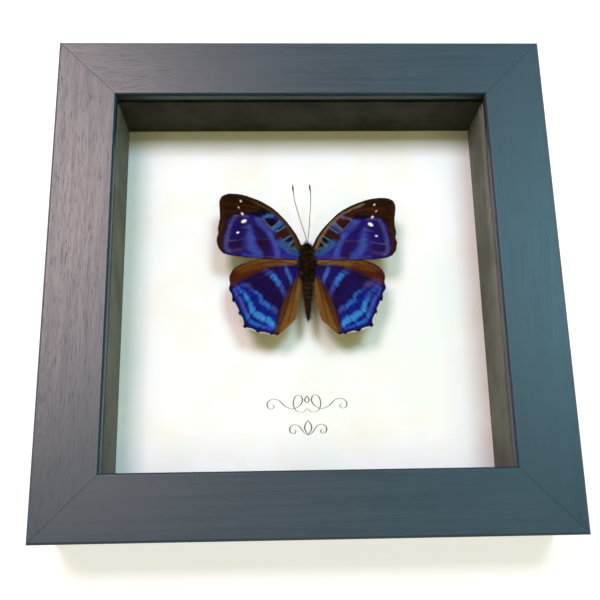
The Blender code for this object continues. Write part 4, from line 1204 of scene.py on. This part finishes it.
def makeRiser():
    foam = paperFinish("riser foam", [(232, 226, 214), (214, 204, 186), (238, 232, 222), (180, 168, 150)],
                       2600.0, 300.0, 0.5, 0.75, 0.05)
    riser = workingCopy("riser")
    softEdges(riser, 0.15, 2, 40)
    finishPiece(riser, "riser_block", foam, ["riser"])


makeBody()
skin = antennaFinish()
makeAntenna("left", skin)
makeAntenna("right", skin)
makeRiser()
print("body, antennae and riser done")


# floor, lights and camera

floorSet = {"tone": (196, 196, 196), "cloud tone": (190, 190, 190), "size": 4.0, "glow": 0.62}
worldSet = {
    "dim": (1.0, 0.95, 0.4, 1.0), "dim strength": 0.07,
    "pale": (1.0, 1.0, 1.0, 1.0), "pale strength": 0.9,
}
lightSet = [      # name, place, aim, width and height, watts, colour, what it lights
    ("soft left", (-0.25, 0.27, 0.92), (0, 0, 0.02), (0.25, 0.25), 5.2, (1.0, 0.77, 1.0), "colour"),
    ("soft right", (0.2, 0.27, 0.92), (0, 0, 0.02), (0.25, 0.25), 5.1, (0.54, 0.8, 1.0), "colour"),
    ("fill far left", (-0.3, 0.3, 0.8), (0, 0, 0.02), (0.4, 0.4), 1.42, (1.0, 0.92, 0.42), "colour"),
    ("fill far right", (0.3, 0.3, 0.8), (0, 0, 0.02), (0.4, 0.4), 1.42, (1.0, 0.92, 0.42), "colour"),
    ("fill near left", (-0.3, -0.3, 0.8), (0, 0, 0.02), (0.4, 0.4), 1.42, (1.0, 0.92, 0.42), "colour"),
    ("fill near right", (0.3, -0.3, 0.8), (0, 0, 0.02), (0.4, 0.4), 1.42, (1.0, 0.92, 0.42), "colour"),
    ("left sheen", (-0.355, 0.345, 0.80), (-0.05, 0.03, 0.03), (0.2, 0.42), 11.5, (1.0, 0.75, 0.72), "gloss"),
    ("right sheen", (0.45, 0.25, 0.78), (0.05, 0.02, 0.03), (0.2, 0.36), 3.6, (0.35, 0.85, 1.0), "gloss"),
]
cameraSet = {
    "place": (-9.98, -74.62, 263.17), "aim": (-0.95, -1.79, 5.55), "turn": 6.25, "lens": 49.72, "sensor": 36.0,
}


def makeFloor():
    clearSelection()
    bpy.ops.mesh.primitive_grid_add(x_subdivisions=8, y_subdivisions=8, size=floorSet["size"])
    floor = bpy.context.object
    floor.name = "floor"
    material, tree, shader = newMaterial("pale floor")
    cloud = noise(tree, objectPlace(tree), 3.0)
    tone, cloudTone = linear(*floorSet["tone"]), linear(*floorSet["cloud tone"])
    tone = blend(tree, remap(tree, cloud, 0.3, 0.7), tone, cloudTone)
    tree.links.new(tone, shader.inputs["Base Color"])
    shader.inputs["Roughness"].default_value = 0.9
    shader.inputs["Specular IOR Level"].default_value = 0.1
    shader.inputs["Emission Color"].default_value = (1, 1, 1, 1)
    shader.inputs["Emission Strength"].default_value = floorSet["glow"]
    floor.data.materials.append(material)


def makeLights():
    world = bpy.data.worlds.new("studio")
    bpy.context.scene.world = world
    world.use_nodes = True
    tree = world.node_tree
    dim = tree.nodes["Background"]
    dim.inputs["Color"].default_value = worldSet["dim"]
    dim.inputs["Strength"].default_value = worldSet["dim strength"]
    pale = put(tree, "Background", {"Color": worldSet["pale"], "Strength": worldSet["pale strength"]})
    direct = put(tree, "LightPath").outputs["Is Camera Ray"]      # past the floor's edge the room looks pale
    mixed = put(tree, "MixShader", {0: direct, 1: dim.outputs[0], 2: pale.outputs[0]})
    tree.links.new(mixed.outputs[0], tree.nodes["World Output"].inputs["Surface"])
    world.cycles_visibility.glossy = False
    rails = bpy.data.collections.new("rails")
    for side in ("top", "bottom", "left", "right"):
        rails.objects.link(bpy.data.objects["moulding_" + side])
    for name, place, aim, size, watts, colour, lights in lightSet:
        lamp = bpy.data.lights.new(name, "AREA")
        lamp.shape = "RECTANGLE"
        lamp.size, lamp.size_y = size
        lamp.energy = watts
        lamp.color = colour
        holder = bpy.data.objects.new(name, lamp)
        bpy.context.scene.collection.objects.link(holder)
        holder.location = place
        back = (Vector(place) - Vector(aim)).normalized()
        across = Vector((0, 1, 0)).cross(back).normalized()
        holder.rotation_euler = Matrix((across, back.cross(across), back)).transposed().to_euler()
        holder.visible_camera = False
        holder.visible_glossy = lights == "gloss"
        holder.visible_diffuse = lights == "colour"
        holder.visible_transmission = False
        if lights == "gloss":
            holder.light_linking.receiver_collection = rails      # the sheen lamps touch the moulding only


def makeCamera():
    camera = bpy.data.objects.new("camera", bpy.data.cameras.new("camera"))
    bpy.context.scene.collection.objects.link(camera)
    camera.data.sensor_width = cameraSet["sensor"]
    camera.data.lens = cameraSet["lens"]
    camera.data.clip_start = 0.01
    place, aim = (Vector(cameraSet[name]) * mm for name in ("place", "aim"))
    looking = (aim - place).to_track_quat("-Z", "Y").to_matrix().to_4x4()
    turned = looking @ Matrix.Rotation(math.radians(cameraSet["turn"]), 4, "Z")
    camera.matrix_world = Matrix.Translation(place) @ turned
    bpy.context.scene.camera = camera


makeFloor()
makeLights()
makeCamera()
bpy.context.scene.view_settings.view_transform = "Standard"
print("floor, lights and camera done")
